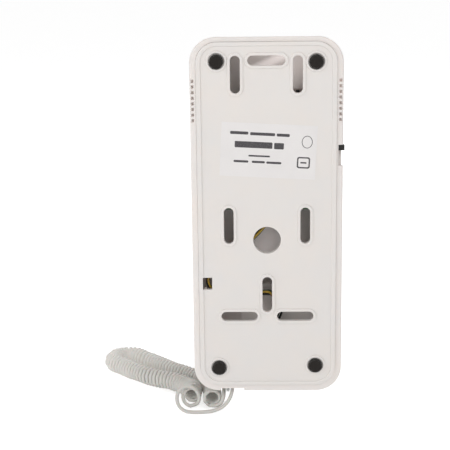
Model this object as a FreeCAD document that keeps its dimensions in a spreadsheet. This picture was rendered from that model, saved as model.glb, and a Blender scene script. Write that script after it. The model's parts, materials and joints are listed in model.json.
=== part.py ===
import FreeCAD, Part
import math
import os
import Sketcher
from FreeCAD import Vector, Rotation, Placement

# Slimline wall phone: a wall base with a rear cover and a front cover, a
# handset that rests in two wells on its front, and a coiled modular cord.
# X is right as seen from the front, the wall is the plane Y = 0, the front
# faces -Y, Z is up. "Depth" is the distance from the wall, so Y = -depth.

doc = FreeCAD.newDocument("slimline_wall_phone")


# ------------------------------------------------- driving dimensions
class Size:
    """A number together with the sheet expression that drives it."""

    def __init__(self, value, text):
        self.value = float(value)
        self.text = text

    @staticmethod
    def of(other):
        if isinstance(other, Size):
            return other
        return Size(other, repr(float(other)))

    def __add__(self, other):
        other = Size.of(other)
        return Size(self.value + other.value, "(%s + %s)" % (self.text, other.text))

    def __sub__(self, other):
        other = Size.of(other)
        return Size(self.value - other.value, "(%s - %s)" % (self.text, other.text))

    def __mul__(self, other):
        other = Size.of(other)
        return Size(self.value * other.value, "(%s * %s)" % (self.text, other.text))

    def __neg__(self):
        return Size(-self.value, "(-1 * %s)" % self.text)


class Sheet:
    """The spreadsheet; each defined dimension is also an attribute holding its Size."""

    def __init__(self):
        self.cells = doc.addObject("Spreadsheet::Sheet", "dims")
        self.row = 0

    def add(self, alias, value):
        self.row += 1
        self.cells.set("A%d" % self.row, alias)
        self.cells.set("B%d" % self.row, repr(float(value)))
        self.cells.setAlias("B%d" % self.row, alias)
        return Size(value, "dims." + alias)

    def define(self, **values):
        for alias, value in values.items():
            setattr(self, alias, self.add(alias, value))


dim = Sheet()

# Case and its cavity
dim.define(
    case_half_w=40.8, case_half_len=98.6, case_at_z=-0.55, case_corner=13.9,
    case_rim_depth=2.0, case_widest_depth=3.0, case_front_depth=22.0,
    case_draft_deg=16.0, case_front_round=5.0, case_rim_round=0.9,
    mouth_half_w=37.5, mouth_half_len=95.5, mouth_corner=11.2, mouth_end_depth=7.2,
    cavity_half_w=33.9, cavity_half_len=91.9, cavity_corner=8.5, cavity_depth=19.8)

# Rear cover
dim.define(
    cover_half_w=37.42, cover_half_len=95.42, cover_corner=11.12, band_round=0.22,
    panel_half_w=34.85, panel_half_len=93.3, panel_corner=8.5,
    band_depth=1.0, panel_depth=1.6, plate_inner_depth=3.6,
    skirt_half_w=34.6, skirt_half_len=92.6, skirt_wall=1.4, skirt_depth=6.4,
    slot_half_len=10.0, slot_radius=2.625, slot_lip=1.6, lip_overlap=0.3, lip_round=0.3,
    cable_radius=7.5, cable_at_z=-12.05, cable_collar_wall=1.4, cable_collar_depth=5.0,
    pad_seat_up=0.15, pad_radius=3.8, pad_ring_outer=5.6, pad_ring_inner=4.3,
    pad_seat_depth=2.2,
    post_x=28.0, post_low_z=12.0, post_high_z=62.0, post_radius=2.6, post_len=3.1,
    post_overlap=0.2, post_hole_radius=1.0, post_top_depth=6.7, post_hole_len=4.0,
    latch_window_x=32.75, latch_window_z=-36.5,
    latch_window_half_w=2.55, latch_window_half_tall=3.4,
    rear_opening_depth=0.5, rear_opening_len=6.0,
    rear_clearance_depth=3.7, rear_clearance_len=4.0)

# Wells, ribs and openings of the front cover
dim.define(
    well_floor_depth=15.0, well_back_depth=13.0, well_half_w=22.7, well_wall=1.8,
    well_corner=5.0, well_block_corner=5.0, well_block_overlap=0.5,
    ear_well_low_z=37.8, ear_well_high_z=85.3,
    mouth_well_low_z=-89.3, mouth_well_high_z=-41.8,
    rib_inner_x=35.2, rib_outer_x=37.8, rib_half_tall=1.0, rib_depth=3.8, rib_len=9.0,
    front_cut_margin=1.0, front_opening_len=4.0,
    vent_pitch=3.0, vent_half_tall=0.87, vent_first_z=74.8, vent_cut_x=38.6,
    vent_outer_x=40.05, vent_cut_deep=4.2, rim_cut_depth=1.5,
    vent_through_depth=8.0, vent_through_len=4.0, wall_inside_x=36.5, beyond_side_x=43.0,
    volume_slot_x=38.3, volume_slot_len=4.4, volume_through_depth=4.1,
    volume_through_len=1.8, cord_lip_len=2.2, cord_notch_depth=3.6, cord_notch_len=9.35)

# Keys and hook plunger
dim.define(
    button_at_x=22.8, button_half_w=5.3, button_corner=3.0, button_gap=0.25,
    door_button_z=52.0, door_half_tall=12.0, aux_button_z=25.0, aux_half_tall=5.3,
    cap_depth=19.4, cap_len=3.9, cap_round=1.2,
    flange_depth=18.2, flange_len=1.4, flange_border=0.9, flange_corner=3.6,
    stem_depth=13.75, stem_len=5.0, stem_radius=1.8,
    hook_z=27.5, hook_half_w=5.0, hook_half_tall=3.0, hook_corner=1.0, hook_gap=0.3,
    hook_opening_corner=1.2, hook_depth=14.8, hook_len=14.2, hook_tip_round=0.95,
    hook_flange_len=1.2)

# Handset
dim.define(
    handset_at_x=-10.0, handset_half_w=21.5, handset_top_z=84.0, handset_end_z=-88.0,
    handset_corner=14.0, handset_seam_depth=33.0, handset_end_depth=41.0, shell_gap=0.1,
    shell_wall=2.5, cup_face_depth=16.5, cup_inset=1.0, grip_inner_depth=29.6,
    handset_back_radius=742.0, grip_inner_radius=560.0, back_round=5.5,
    back_hollow_len=5.2, mid_hollow_depth=38.0, mid_hollow_len=3.5,
    mid_hollow_half_w=15.0, mid_hollow_half_len=62.0, mid_hollow_corner=8.0,
    ear_brow_z=43.5, ear_valley_z=36.0, mouth_valley_z=-40.0, mouth_brow_z=-47.5,
    valley_round=5.0, brow_round=3.0,
    ear_centre_z=63.6, mouth_hollow_z=-67.4, microphone_z=-72.0,
    cup_hollow_half_len=17.6, cup_hollow_corner=10.5, cup_hollow_len=14.5,
    jack_notch_half_w=4.2, back_notch_len=2.4, front_notch_len=4.8,
    grille_depth=20.0, grille_len=6.0, ear_hole_radius=1.0, mouth_hole_radius=0.9,
    handset_screw_z=-58.0, back_post_radius=3.0, back_post_len=8.8,
    back_screw_hole_radius=1.1, back_screw_hole_len=5.0,
    screw_tube_radius=3.6, screw_tube_depth=18.0, screw_tube_len=14.9,
    screw_start_depth=15.0, screw_sink_radius=2.6, screw_sink_len=15.0,
    screw_way_radius=1.4, screw_way_len=19.0)

# Plug latches, label, spring and cords
dim.define(
    latch_half_w=1.3, base_latch_depth=7.1,
    label_half_w=25.6, label_half_tall=14.6, label_thick=0.12, label_front_depth=1.6,
    label_centre_x=-0.9291, label_centre_z=37.3,
    hook_spring_radius=2.4, hook_spring_wire=0.25,
    coil_radius=5.4, coil_at_z=-105.9, lead_radius=1.05, wire_radius=0.6,
    handset_wire_radius=0.5)


def centres(prefix, places):
    """Add a lettered x and z for each place; a zero stays a plain zero, on the axis."""
    found = []
    for letter, place in zip("abcdefgh", places):
        found.append(tuple(dim.add("%s_%s_%s" % (prefix, letter, axis), value)
                           if value else Size.of(0.0) for axis, value in zip("xz", place)))
    return found


# Centres (x, z) of the wall pads and of the slots in the rear cover
pad_centres = centres("pad", [(26.45, 85.2), (-26.4, 84.8), (26.9, -85.15), (-26.4, -83.9)])
slot_centres = centres("slot", [
    (16.6, 78.2), (-16.6, 78.2), (0.0, 85.6), (20.7, -3.9),
    (-20.7, -3.9), (0.0, -42.8), (15.3, -55.3), (-15.3, -55.3)])
slot_is_upright = [True, True, False, True, True, True, False, False]
slots = [(x, z, upright) for (x, z), upright in zip(slot_centres, slot_is_upright)]

post_centres = [(dim.post_x * side, z)
                for side in (1, -1) for z in (dim.post_low_z, dim.post_high_z)]
well_spans = [(dim.ear_well_low_z, dim.ear_well_high_z),
              (dim.mouth_well_low_z, dim.mouth_well_high_z)]
handset_side_x = dim.handset_at_x - dim.handset_half_w
handset_mid_z = (dim.handset_top_z + dim.handset_end_z) * 0.5
back_seam_depth = dim.handset_seam_depth + dim.shell_gap
jack_notch_z_span = (-90.0, -84.0)


# ------------------------------------------------------ sketch helpers
def add_object(kind, label):
    obj = doc.addObject(kind, label)
    obj.Label = label
    return obj


def new_body(label):
    return add_object("PartDesign::Body", label)


def bind(obj, prop, size):
    obj.setExpression(prop, Size.of(size).text)


def centred(centre, half):
    """The span that reaches half to each side of centre."""
    return (centre - half, centre + half)


def new_sketch(body, name, lift, role="XZ_Plane"):
    """A sketch on an origin plane of the body; on XZ the lift is a depth, on YZ an x."""
    sketch = body.newObject("Sketcher::SketchObject", name)
    for feature in body.Origin.OriginFeatures:
        if feature.Role == role:
            sketch.AttachmentSupport = [(feature, "")]
    sketch.MapMode = "FlatFace"
    bind(sketch, "AttachmentOffset.Base.z", lift)
    return sketch


def drive(sketch, size, *constraint):
    """Add a dimension constraint that follows the size."""
    index = sketch.addConstraint(Sketcher.Constraint(*constraint, size.value))
    sketch.setExpression("Constraints[%d]" % index, size.text)


def place_point(sketch, geo, point, x, y):
    """Dimension one point of a sketch from the origin."""
    for kind, axis, size in (("DistanceX", -2, Size.of(x)), ("DistanceY", -1, Size.of(y))):
        if abs(size.value) < 1e-7:
            sketch.addConstraint(Sketcher.Constraint("PointOnObject", geo, point, axis))
        elif size.value > 0:
            drive(sketch, size, kind, -1, 1, geo, point)
        else:
            drive(sketch, -size, kind, geo, point, -1, 1)


def arc(x, y, radius, start_deg, end_deg):
    full = Part.Circle(Vector(x, y, 0), Vector(0, 0, 1), radius)
    return Part.ArcOfCircle(full, math.radians(start_deg), math.radians(end_deg))


def segment(x0, y0, x1, y1):
    return Part.LineSegment(Vector(x0, y0, 0), Vector(x1, y1, 0))


def join_tangent(sketch, ids):
    for i, geo in enumerate(ids):
        following = ids[(i + 1) % len(ids)]
        sketch.addConstraint(Sketcher.Constraint("Tangent", geo, 2, following, 1))


def round_rect(sketch, half_w, half_len, corner, centre_x=0.0, centre_y=0.0):
    half_w, half_len, corner, centre_x, centre_y = [
        Size.of(given) for given in (half_w, half_len, corner, centre_x, centre_y)]
    radius = corner.value
    left, right = [edge.value for edge in centred(centre_x, half_w)]
    low, high = [edge.value for edge in centred(centre_y, half_len)]
    ids = sketch.addGeometry([
        segment(left + radius, low, right - radius, low),
        arc(right - radius, low + radius, radius, -90, 0),
        segment(right, low + radius, right, high - radius),
        arc(right - radius, high - radius, radius, 0, 90),
        segment(right - radius, high, left + radius, high),
        arc(left + radius, high - radius, radius, 90, 180),
        segment(left, high - radius, left, low + radius),
        arc(left + radius, low + radius, radius, 180, 270)], False)
    join_tangent(sketch, ids)
    for kind, i in (("Horizontal", 0), ("Horizontal", 4), ("Vertical", 2), ("Vertical", 6)):
        sketch.addConstraint(Sketcher.Constraint(kind, ids[i]))
    for i in (3, 5, 7):
        sketch.addConstraint(Sketcher.Constraint("Equal", ids[1], ids[i]))
    drive(sketch, corner, "Radius", ids[1])
    place_point(sketch, ids[1], 3, centre_x + half_w - corner, centre_y - half_len + corner)
    place_point(sketch, ids[5], 3, centre_x - half_w + corner, centre_y + half_len - corner)


def stadium(sketch, half_len, radius, centre_x, centre_y, upright):
    """A slot outline with round ends."""
    reach = half_len - radius
    k, r, x, y = reach.value, radius.value, centre_x.value, centre_y.value
    if upright:
        shapes = [segment(x + r, y - k, x + r, y + k), arc(x, y + k, r, 0, 180),
                  segment(x - r, y + k, x - r, y - k), arc(x, y - k, r, 180, 360)]
        far, near = (centre_x, centre_y + reach), (centre_x, centre_y - reach)
    else:
        shapes = [segment(x - k, y - r, x + k, y - r), arc(x + k, y, r, -90, 90),
                  segment(x + k, y + r, x - k, y + r), arc(x - k, y, r, 90, 270)]
        far, near = (centre_x + reach, centre_y), (centre_x - reach, centre_y)
    ids = sketch.addGeometry(shapes, False)
    join_tangent(sketch, ids)
    sketch.addConstraint(Sketcher.Constraint("Equal", ids[1], ids[3]))
    drive(sketch, radius, "Radius", ids[1])
    place_point(sketch, ids[1], 3, *far)
    place_point(sketch, ids[3], 3, *near)


def circle(sketch, radius, x, y):
    radius, x, y = Size.of(radius), Size.of(x), Size.of(y)
    centre = Vector(x.value, y.value, 0)
    geo = sketch.addGeometry(Part.Circle(centre, Vector(0, 0, 1), radius.value), False)
    drive(sketch, radius, "Radius", geo)
    place_point(sketch, geo, 3, x, y)


def bowed_edge(start, end, radius, side):
    """An arc from start to end; side 1 puts its centre to the left, -1 to the right."""
    middle, along = (start + end) * 0.5, end - start
    offset = math.sqrt(radius ** 2 - (along.Length / 2) ** 2)
    normal = Vector(-along.y, along.x, 0).normalize() * side
    centre = middle + normal * offset
    return Part.Arc(start, centre - normal * radius, end)


def outline(sketch, points, bow=None):
    """Closed outline through the points; bow = (edge index, radius, side) of one arc."""
    points = [(Size.of(x), Size.of(y)) for x, y in points]
    corners = [Vector(x.value, y.value, 0) for x, y in points]
    count = len(points)
    bowed, radius, side = bow or (None, None, None)
    ids, ends = [], []
    for i, start in enumerate(corners):
        end = corners[(i + 1) % count]
        if i == bowed:
            edge = bowed_edge(start, end, radius.value, side)
        else:
            edge = Part.LineSegment(start, end)
        ids.append(sketch.addGeometry(edge, False))
    # An arc may be stored end first, so each edge's point order is looked up.
    for geo, corner in zip(ids, corners):
        first = sketch.getPoint(geo, 1)
        forward = abs(first.x - corner.x) < 1e-6 and abs(first.y - corner.y) < 1e-6
        ends.append((1, 2) if forward else (2, 1))
    for i in range(count):
        j = (i + 1) % count
        sketch.addConstraint(
            Sketcher.Constraint("Coincident", ids[i], ends[i][1], ids[j], ends[j][0]))
    for i in range(count):
        place_point(sketch, ids[i], ends[i][0], *points[i])
        if i == bowed:
            drive(sketch, radius, "Radius", ids[i])


def rect(sketch, x_span, y_span):
    (x0, x1), (y0, y1) = x_span, y_span
    outline(sketch, [(x0, y0), (x1, y0), (x1, y1), (x0, y1)])


def rect_pair(sketch, x_span, y_span):
    """A rectangle on the right and its mirror image on the left."""
    rect(sketch, x_span, y_span)
    rect(sketch, (-x_span[1], -x_span[0]), y_span)


# ------------------------------------------------------ body features
def pad(body, sketch, length, to_wall=False, taper=None):
    """Pad along the sketch normal (to the front on XZ), or back toward the wall."""
    feature = body.newObject("PartDesign::Pad", sketch.Name + "_pad")
    feature.Profile = sketch
    feature.Reversed = to_wall
    bind(feature, "Length", length)
    if taper is not None:
        bind(feature, "TaperAngle", taper)


def pocket(body, sketch, length, to_front=False):
    """Cut from the sketch toward the wall, or toward the front."""
    doc.recompute()
    volume_before = body.Tip.Shape.Volume
    feature = body.newObject("PartDesign::Pocket", sketch.Name + "_cut")
    feature.Profile = sketch
    feature.Reversed = to_front
    bind(feature, "Length", length)
    doc.recompute()
    if not feature.Shape.Volume < volume_before - 1e-6:
        raise RuntimeError("%s cuts nothing" % feature.Name)


def fillet(body, name, radius, test):
    """Round the edges of the body's tip that pass the test."""
    doc.recompute()
    base = body.Tip
    names = ["Edge%d" % (i + 1) for i, edge in enumerate(base.Shape.Edges) if test(edge)]
    if not names:
        raise RuntimeError("no edge for " + name)
    feature = body.newObject("PartDesign::Fillet", name)
    feature.Base = (base, names)
    bind(feature, "Radius", radius)
    doc.recompute()
    if "Invalid" in feature.State or feature.Shape.isNull():
        raise RuntimeError("fillet failed: " + name)


def flat_at(depth, tolerance=1e-3):
    """A test for edges that lie flat at one depth."""
    y = -depth.value
    return lambda edge: (abs(edge.BoundBox.YMin - y) < tolerance
                         and abs(edge.BoundBox.YMax - y) < tolerance)


# ------------------------------------------------------ plain solids
def driving(alias, value):
    """A Size as it is, or a plain number as a new sheet dimension."""
    return value if isinstance(value, Size) else dim.add(alias, value)


def place(obj, x, y_name, depth, z):
    """Bind the base point; y_name ends the alias of its depth."""
    bind(obj, "Placement.Base.x", driving(obj.Label + "_at_x", x))
    bind(obj, "Placement.Base.y", -driving(obj.Label + y_name, depth))
    bind(obj, "Placement.Base.z", driving(obj.Label + "_at_z", z))


def box(label, x_span, depth_span, z_span):
    block = add_object("Part::Box", label)
    for prop, ending, (low, high) in (("Length", "_wide", x_span),
                                      ("Width", "_thick", depth_span),
                                      ("Height", "_tall", z_span)):
        bind(block, prop, driving(label + ending, high - low))
    place(block, x_span[0], "_far_depth", depth_span[1], z_span[0])
    return block


def cylinder(label, x, z, depth_span, radius):
    """A round piece whose axis runs in depth."""
    near, far = depth_span
    rod = add_object("Part::Cylinder", label)
    bind(rod, "Radius", driving(label + "_radius", radius))
    bind(rod, "Height", driving(label + "_long", far - near))
    rod.Placement = Placement(Vector(), Rotation(Vector(1, 0, 0), 90))
    place(rod, x, "_near_depth", near, z)
    return rod


def cut(label, base, tool):
    result = add_object("Part::Cut", label)
    result.Base = base
    result.Tool = tool
    return result


def fuse(label, shapes):
    result = add_object("Part::MultiFuse", label)
    result.Shapes = shapes
    return result


def group(label, shapes):
    """Several pieces in one node as separate solids."""
    result = add_object("Part::Compound", label)
    result.Links = shapes
    return result


def fixed_shape(label, shape):
    result = add_object("Part::Feature", label)
    result.Shape = shape
    return result


def tube(points, radius, bend=4.0):
    """A round tube along straight runs joined by arcs; bend is the largest arc radius."""
    corners = [Vector(*point) for point in points]
    edges = []
    last = corners[0]
    for before, corner, after in zip(corners, corners[1:], corners[2:]):
        back, ahead = before - corner, after - corner
        room = 0.48 * min(back.Length, ahead.Length)
        back, ahead = back * (1.0 / back.Length), ahead * (1.0 / ahead.Length)
        angle = back.getAngle(ahead)
        if math.pi - angle < 0.01:
            continue
        reach = min(room, bend / math.tan(angle / 2.0))
        arc_radius = reach * math.tan(angle / 2.0)
        middle = back + ahead
        middle.normalize()
        centre = corner + middle * (arc_radius / math.sin(angle / 2.0))
        start, end = corner + back * reach, corner + ahead * reach
        if (start - last).Length > 1e-6:
            edges.append(Part.LineSegment(last, start).toShape())
        edges.append(Part.Arc(start, centre - middle * arc_radius, end).toShape())
        last = end
    edges.append(Part.LineSegment(last, corners[-1]).toShape())
    heading = corners[1] - corners[0]
    ring = Part.Wire([Part.Circle(corners[0], heading, radius.value).toShape()])
    return Part.Wire(edges).makePipeShell([ring], True, True)


nodes = []


def keep(obj):
    """List a finished piece for export."""
    nodes.append(obj)


# ---------------------------------------------------------- rear cover
def is_lip_edge(edge):
    """Small edges at band depth, away from the rim: slot lips and pad rings."""
    bounds = edge.BoundBox
    return (flat_at(dim.band_depth, 1e-4)(edge)
            and bounds.XLength < 30 and bounds.ZLength < 30
            and abs(bounds.Center.x) < 33.0 and abs(bounds.Center.z) < 92.0)


def rear_cover():
    body = new_body("rear_cover")
    sketch = new_sketch(body, "rear_plate", dim.band_depth)
    round_rect(sketch, dim.cover_half_w, dim.cover_half_len, dim.cover_corner)
    pad(body, sketch, dim.plate_inner_depth - dim.band_depth)
    fillet(body, "rear_band_edge", dim.band_round, flat_at(dim.band_depth, 1e-4))
    sketch = new_sketch(body, "rear_recess", dim.band_depth)
    round_rect(sketch, dim.panel_half_w, dim.panel_half_len, dim.panel_corner)
    pocket(body, sketch, dim.panel_depth - dim.band_depth, to_front=True)
    sketch = new_sketch(body, "rear_skirt", dim.plate_inner_depth)
    round_rect(sketch, dim.skirt_half_w, dim.skirt_half_len, dim.panel_corner)
    round_rect(sketch, dim.skirt_half_w - dim.skirt_wall,
               dim.skirt_half_len - dim.skirt_wall, dim.panel_corner - dim.skirt_wall)
    pad(body, sketch, dim.skirt_depth - dim.plate_inner_depth)

    # Raised lips round the slots and seats for the wall pads
    lip_len = dim.panel_depth - dim.band_depth + dim.lip_overlap
    sketch = new_sketch(body, "slot_lips", dim.band_depth)
    for x, z, upright in slots:
        stadium(sketch, dim.slot_half_len + dim.slot_lip, dim.slot_radius + dim.slot_lip,
                x, z, upright)
    pad(body, sketch, lip_len)
    sketch = new_sketch(body, "pad_rings", dim.band_depth)
    for x, z in pad_centres:
        circle(sketch, dim.pad_ring_outer, x, z + dim.pad_seat_up)
    pad(body, sketch, lip_len)
    sketch = new_sketch(body, "pad_seats", dim.band_depth)
    for x, z in pad_centres:
        circle(sketch, dim.pad_ring_inner, x, z + dim.pad_seat_up)
    pocket(body, sketch, dim.pad_seat_depth - dim.band_depth, to_front=True)

    sketch = new_sketch(body, "cable_collar", dim.panel_depth)
    circle(sketch, dim.cable_radius + dim.cable_collar_wall, 0.0, dim.cable_at_z)
    pad(body, sketch, dim.cable_collar_depth - dim.panel_depth)
    sketch = new_sketch(body, "board_posts", dim.plate_inner_depth - dim.post_overlap)
    for x, z in post_centres:
        circle(sketch, dim.post_radius, x, z)
    pad(body, sketch, dim.post_len)
    sketch = new_sketch(body, "board_post_holes", dim.post_top_depth)
    for x, z in post_centres:
        circle(sketch, dim.post_hole_radius, x, z)
    pocket(body, sketch, dim.post_hole_len)

    sketch = new_sketch(body, "rear_openings", dim.rear_opening_depth)
    for x, z, upright in slots:
        stadium(sketch, dim.slot_half_len, dim.slot_radius, x, z, upright)
    circle(sketch, dim.cable_radius, 0.0, dim.cable_at_z)
    rect(sketch, centred(dim.latch_window_x, dim.latch_window_half_w),
         centred(dim.latch_window_z, dim.latch_window_half_tall))
    pocket(body, sketch, dim.rear_opening_len, to_front=True)
    # Room for the volume switch and for the base socket
    sketch = new_sketch(body, "rear_clearances", dim.rear_clearance_depth)
    rect(sketch, (-36.0, -33.0), (22.0, 44.0))
    rect(sketch, (12.9, 26.6), (-94.0, -90.5))
    pocket(body, sketch, dim.rear_clearance_len, to_front=True)
    fillet(body, "lip_edges", dim.lip_round, is_lip_edge)
    keep(body)


# --------------------------------------------------------- front cover
def case_shell(body):
    """Drafted case with rounded edges, hollowed from the wall side."""
    case = (dim.case_half_w, dim.case_half_len, dim.case_corner, 0.0, dim.case_at_z)
    mouth = (dim.mouth_half_w, dim.mouth_half_len, dim.mouth_corner)
    sketch = new_sketch(body, "case_outline", dim.case_widest_depth)
    round_rect(sketch, *case)
    pad(body, sketch, dim.case_front_depth - dim.case_widest_depth,
        taper=-dim.case_draft_deg)
    sketch = new_sketch(body, "case_rim", dim.case_widest_depth)
    round_rect(sketch, *case)
    pad(body, sketch, dim.case_widest_depth - dim.case_rim_depth, to_wall=True)
    fillet(body, "case_front_edge", dim.case_front_round, flat_at(dim.case_front_depth))
    fillet(body, "case_rim_edge", dim.case_rim_round, flat_at(dim.case_rim_depth))
    sketch = new_sketch(body, "case_mouth", dim.case_rim_depth)
    round_rect(sketch, *mouth)
    pocket(body, sketch, dim.mouth_end_depth - dim.case_rim_depth, to_front=True)
    rear = new_sketch(body, "cavity_rear", dim.mouth_end_depth)
    round_rect(rear, *mouth)
    front = new_sketch(body, "cavity_front", dim.cavity_depth)
    round_rect(front, dim.cavity_half_w, dim.cavity_half_len, dim.cavity_corner)
    loft = body.newObject("PartDesign::SubtractiveLoft", "case_cavity")
    loft.Profile = rear
    loft.Sections = [front]
    loft.Ruled = True
    doc.recompute()


def wells_and_front_openings(body):
    """Wells for the handset with their blocks, side ribs, and holes for the keys."""
    sketch = new_sketch(body, "well_blocks", dim.well_back_depth)
    for low, high in well_spans:
        round_rect(sketch, dim.well_half_w + dim.well_wall,
                   (high - low) * 0.5 + dim.well_wall, dim.well_block_corner,
                   dim.handset_at_x, (low + high) * 0.5)
    pad(body, sketch, dim.cavity_depth - dim.well_back_depth + dim.well_block_overlap)
    sketch = new_sketch(body, "cover_ribs", dim.rib_depth)
    for z in (-75.0, -25.0, 12.0, 80.0):
        rect_pair(sketch, (dim.rib_inner_x, dim.rib_outer_x),
                  centred(Size.of(z), dim.rib_half_tall))
    pad(body, sketch, dim.rib_len)

    start_depth = dim.case_front_depth + dim.front_cut_margin
    sketch = new_sketch(body, "wells", start_depth)
    for low, high in well_spans:
        round_rect(sketch, dim.well_half_w, (high - low) * 0.5, dim.well_corner,
                   dim.handset_at_x, (low + high) * 0.5)
    pocket(body, sketch, start_depth - dim.well_floor_depth)
    sketch = new_sketch(body, "front_openings", start_depth)
    for z, half_tall in ((dim.door_button_z, dim.door_half_tall),
                         (dim.aux_button_z, dim.aux_half_tall)):
        round_rect(sketch, dim.button_half_w + dim.button_gap, half_tall + dim.button_gap,
                   dim.button_corner + dim.button_gap, dim.button_at_x, z)
    round_rect(sketch, dim.hook_half_w + dim.hook_gap, dim.hook_half_tall + dim.hook_gap,
               dim.hook_opening_corner, dim.handset_at_x, dim.hook_z)
    pocket(body, sketch, dim.front_opening_len)


def edge_openings(body):
    """Vents on both sides, the volume slot on the left, the cord notch at the bottom."""
    vent_spans = [centred(dim.vent_first_z - dim.vent_pitch * i, dim.vent_half_tall)
                  for i in range(8)]
    sketch = new_sketch(body, "vent_cuts", dim.rim_cut_depth)
    for z_span in vent_spans:
        rect_pair(sketch, (dim.vent_cut_x, dim.vent_outer_x), z_span)
    pocket(body, sketch, dim.vent_cut_deep, to_front=True)
    sketch = new_sketch(body, "vent_through", dim.vent_through_depth)
    for z_span in vent_spans:
        rect_pair(sketch, (dim.wall_inside_x, dim.beyond_side_x), z_span)
    pocket(body, sketch, dim.vent_through_len, to_front=True)
    sketch = new_sketch(body, "volume_slot", dim.rim_cut_depth)
    rect(sketch, (-dim.beyond_side_x, -dim.volume_slot_x), (28.8, 40.2))
    pocket(body, sketch, dim.volume_slot_len, to_front=True)
    sketch = new_sketch(body, "volume_through", dim.volume_through_depth)
    rect(sketch, (-dim.beyond_side_x, -dim.wall_inside_x), (29.0, 40.0))
    pocket(body, sketch, dim.volume_through_len, to_front=True)
    notch_x_span = (13.1, 26.4)
    sketch = new_sketch(body, "cord_notch_lip", dim.rim_cut_depth)
    rect(sketch, notch_x_span, (-101.0, -97.6))
    pocket(body, sketch, dim.cord_lip_len, to_front=True)
    sketch = new_sketch(body, "cord_notch", dim.cord_notch_depth)
    rect(sketch, notch_x_span, (-101.0, -92.8))
    pocket(body, sketch, dim.cord_notch_len, to_front=True)


def front_cover():
    body = new_body("front_cover")
    case_shell(body)
    wells_and_front_openings(body)
    edge_openings(body)
    keep(body)


# --------------------------------------------------------- moving keys
def key(name, z, half_tall):
    """A rounded cap, a wider flange behind it and a stem toward the board."""
    body = new_body(name + "_button")
    sketch = new_sketch(body, name + "_cap", dim.cap_depth)
    round_rect(sketch, dim.button_half_w, half_tall, dim.button_corner, dim.button_at_x, z)
    pad(body, sketch, dim.cap_len)
    fillet(body, name + "_cap_round", dim.cap_round, flat_at(dim.cap_depth + dim.cap_len))
    sketch = new_sketch(body, name + "_flange", dim.flange_depth)
    round_rect(sketch, dim.button_half_w + dim.flange_border,
               half_tall + dim.flange_border, dim.flange_corner, dim.button_at_x, z)
    pad(body, sketch, dim.flange_len)
    sketch = new_sketch(body, name + "_stem", dim.stem_depth)
    circle(sketch, dim.stem_radius, dim.button_at_x, z)
    pad(body, sketch, dim.stem_len)
    keep(body)


def hook_plunger():
    body = new_body("hook_plunger")
    sketch = new_sketch(body, "hook_shaft", dim.hook_depth)
    round_rect(sketch, dim.hook_half_w, dim.hook_half_tall, dim.hook_corner,
               dim.handset_at_x, dim.hook_z)
    pad(body, sketch, dim.hook_len)
    fillet(body, "hook_tip", dim.hook_tip_round, flat_at(dim.hook_depth + dim.hook_len))
    sketch = new_sketch(body, "hook_flange", dim.hook_depth)
    rect(sketch, (-17.0, 5.0), (23.4, 31.6))
    pad(body, sketch, dim.hook_flange_len)
    keep(body)


# ------------------------------------------------------------- handset
def is_handset_corner(edge):
    """Edges that run in depth along a side wall, at either end of the handset."""
    bounds = edge.BoundBox
    walls = [wall.value for wall in centred(dim.handset_at_x, dim.handset_half_w)]
    on_wall = any(abs(bounds.XMin - wall) < 1e-3 and abs(bounds.XMax - wall) < 1e-3
                  for wall in walls)
    return (on_wall and bounds.YLength > 5 and bounds.ZLength < 2
            and (bounds.ZMin > 80 or bounds.ZMax < -84))


def is_cup_valley(edge):
    """Crosswise edges where the cups meet the grip."""
    bounds = edge.BoundBox
    return (bounds.XLength > 40 and bounds.YMax < -29 and bounds.YMin > -30.5
            and bounds.ZMax < dim.ear_valley_z.value + 1
            and bounds.ZMin > dim.mouth_valley_z.value - 1)


def is_cup_brow(edge):
    """Crosswise edges of the cup faces, on the side of the grip."""
    bounds = edge.BoundBox
    return (bounds.XLength > 40 and bounds.YMax > -17
            and (abs(bounds.ZMax - dim.ear_brow_z.value) < 0.5
                 or abs(bounds.ZMax - dim.mouth_brow_z.value) < 0.5))


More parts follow.
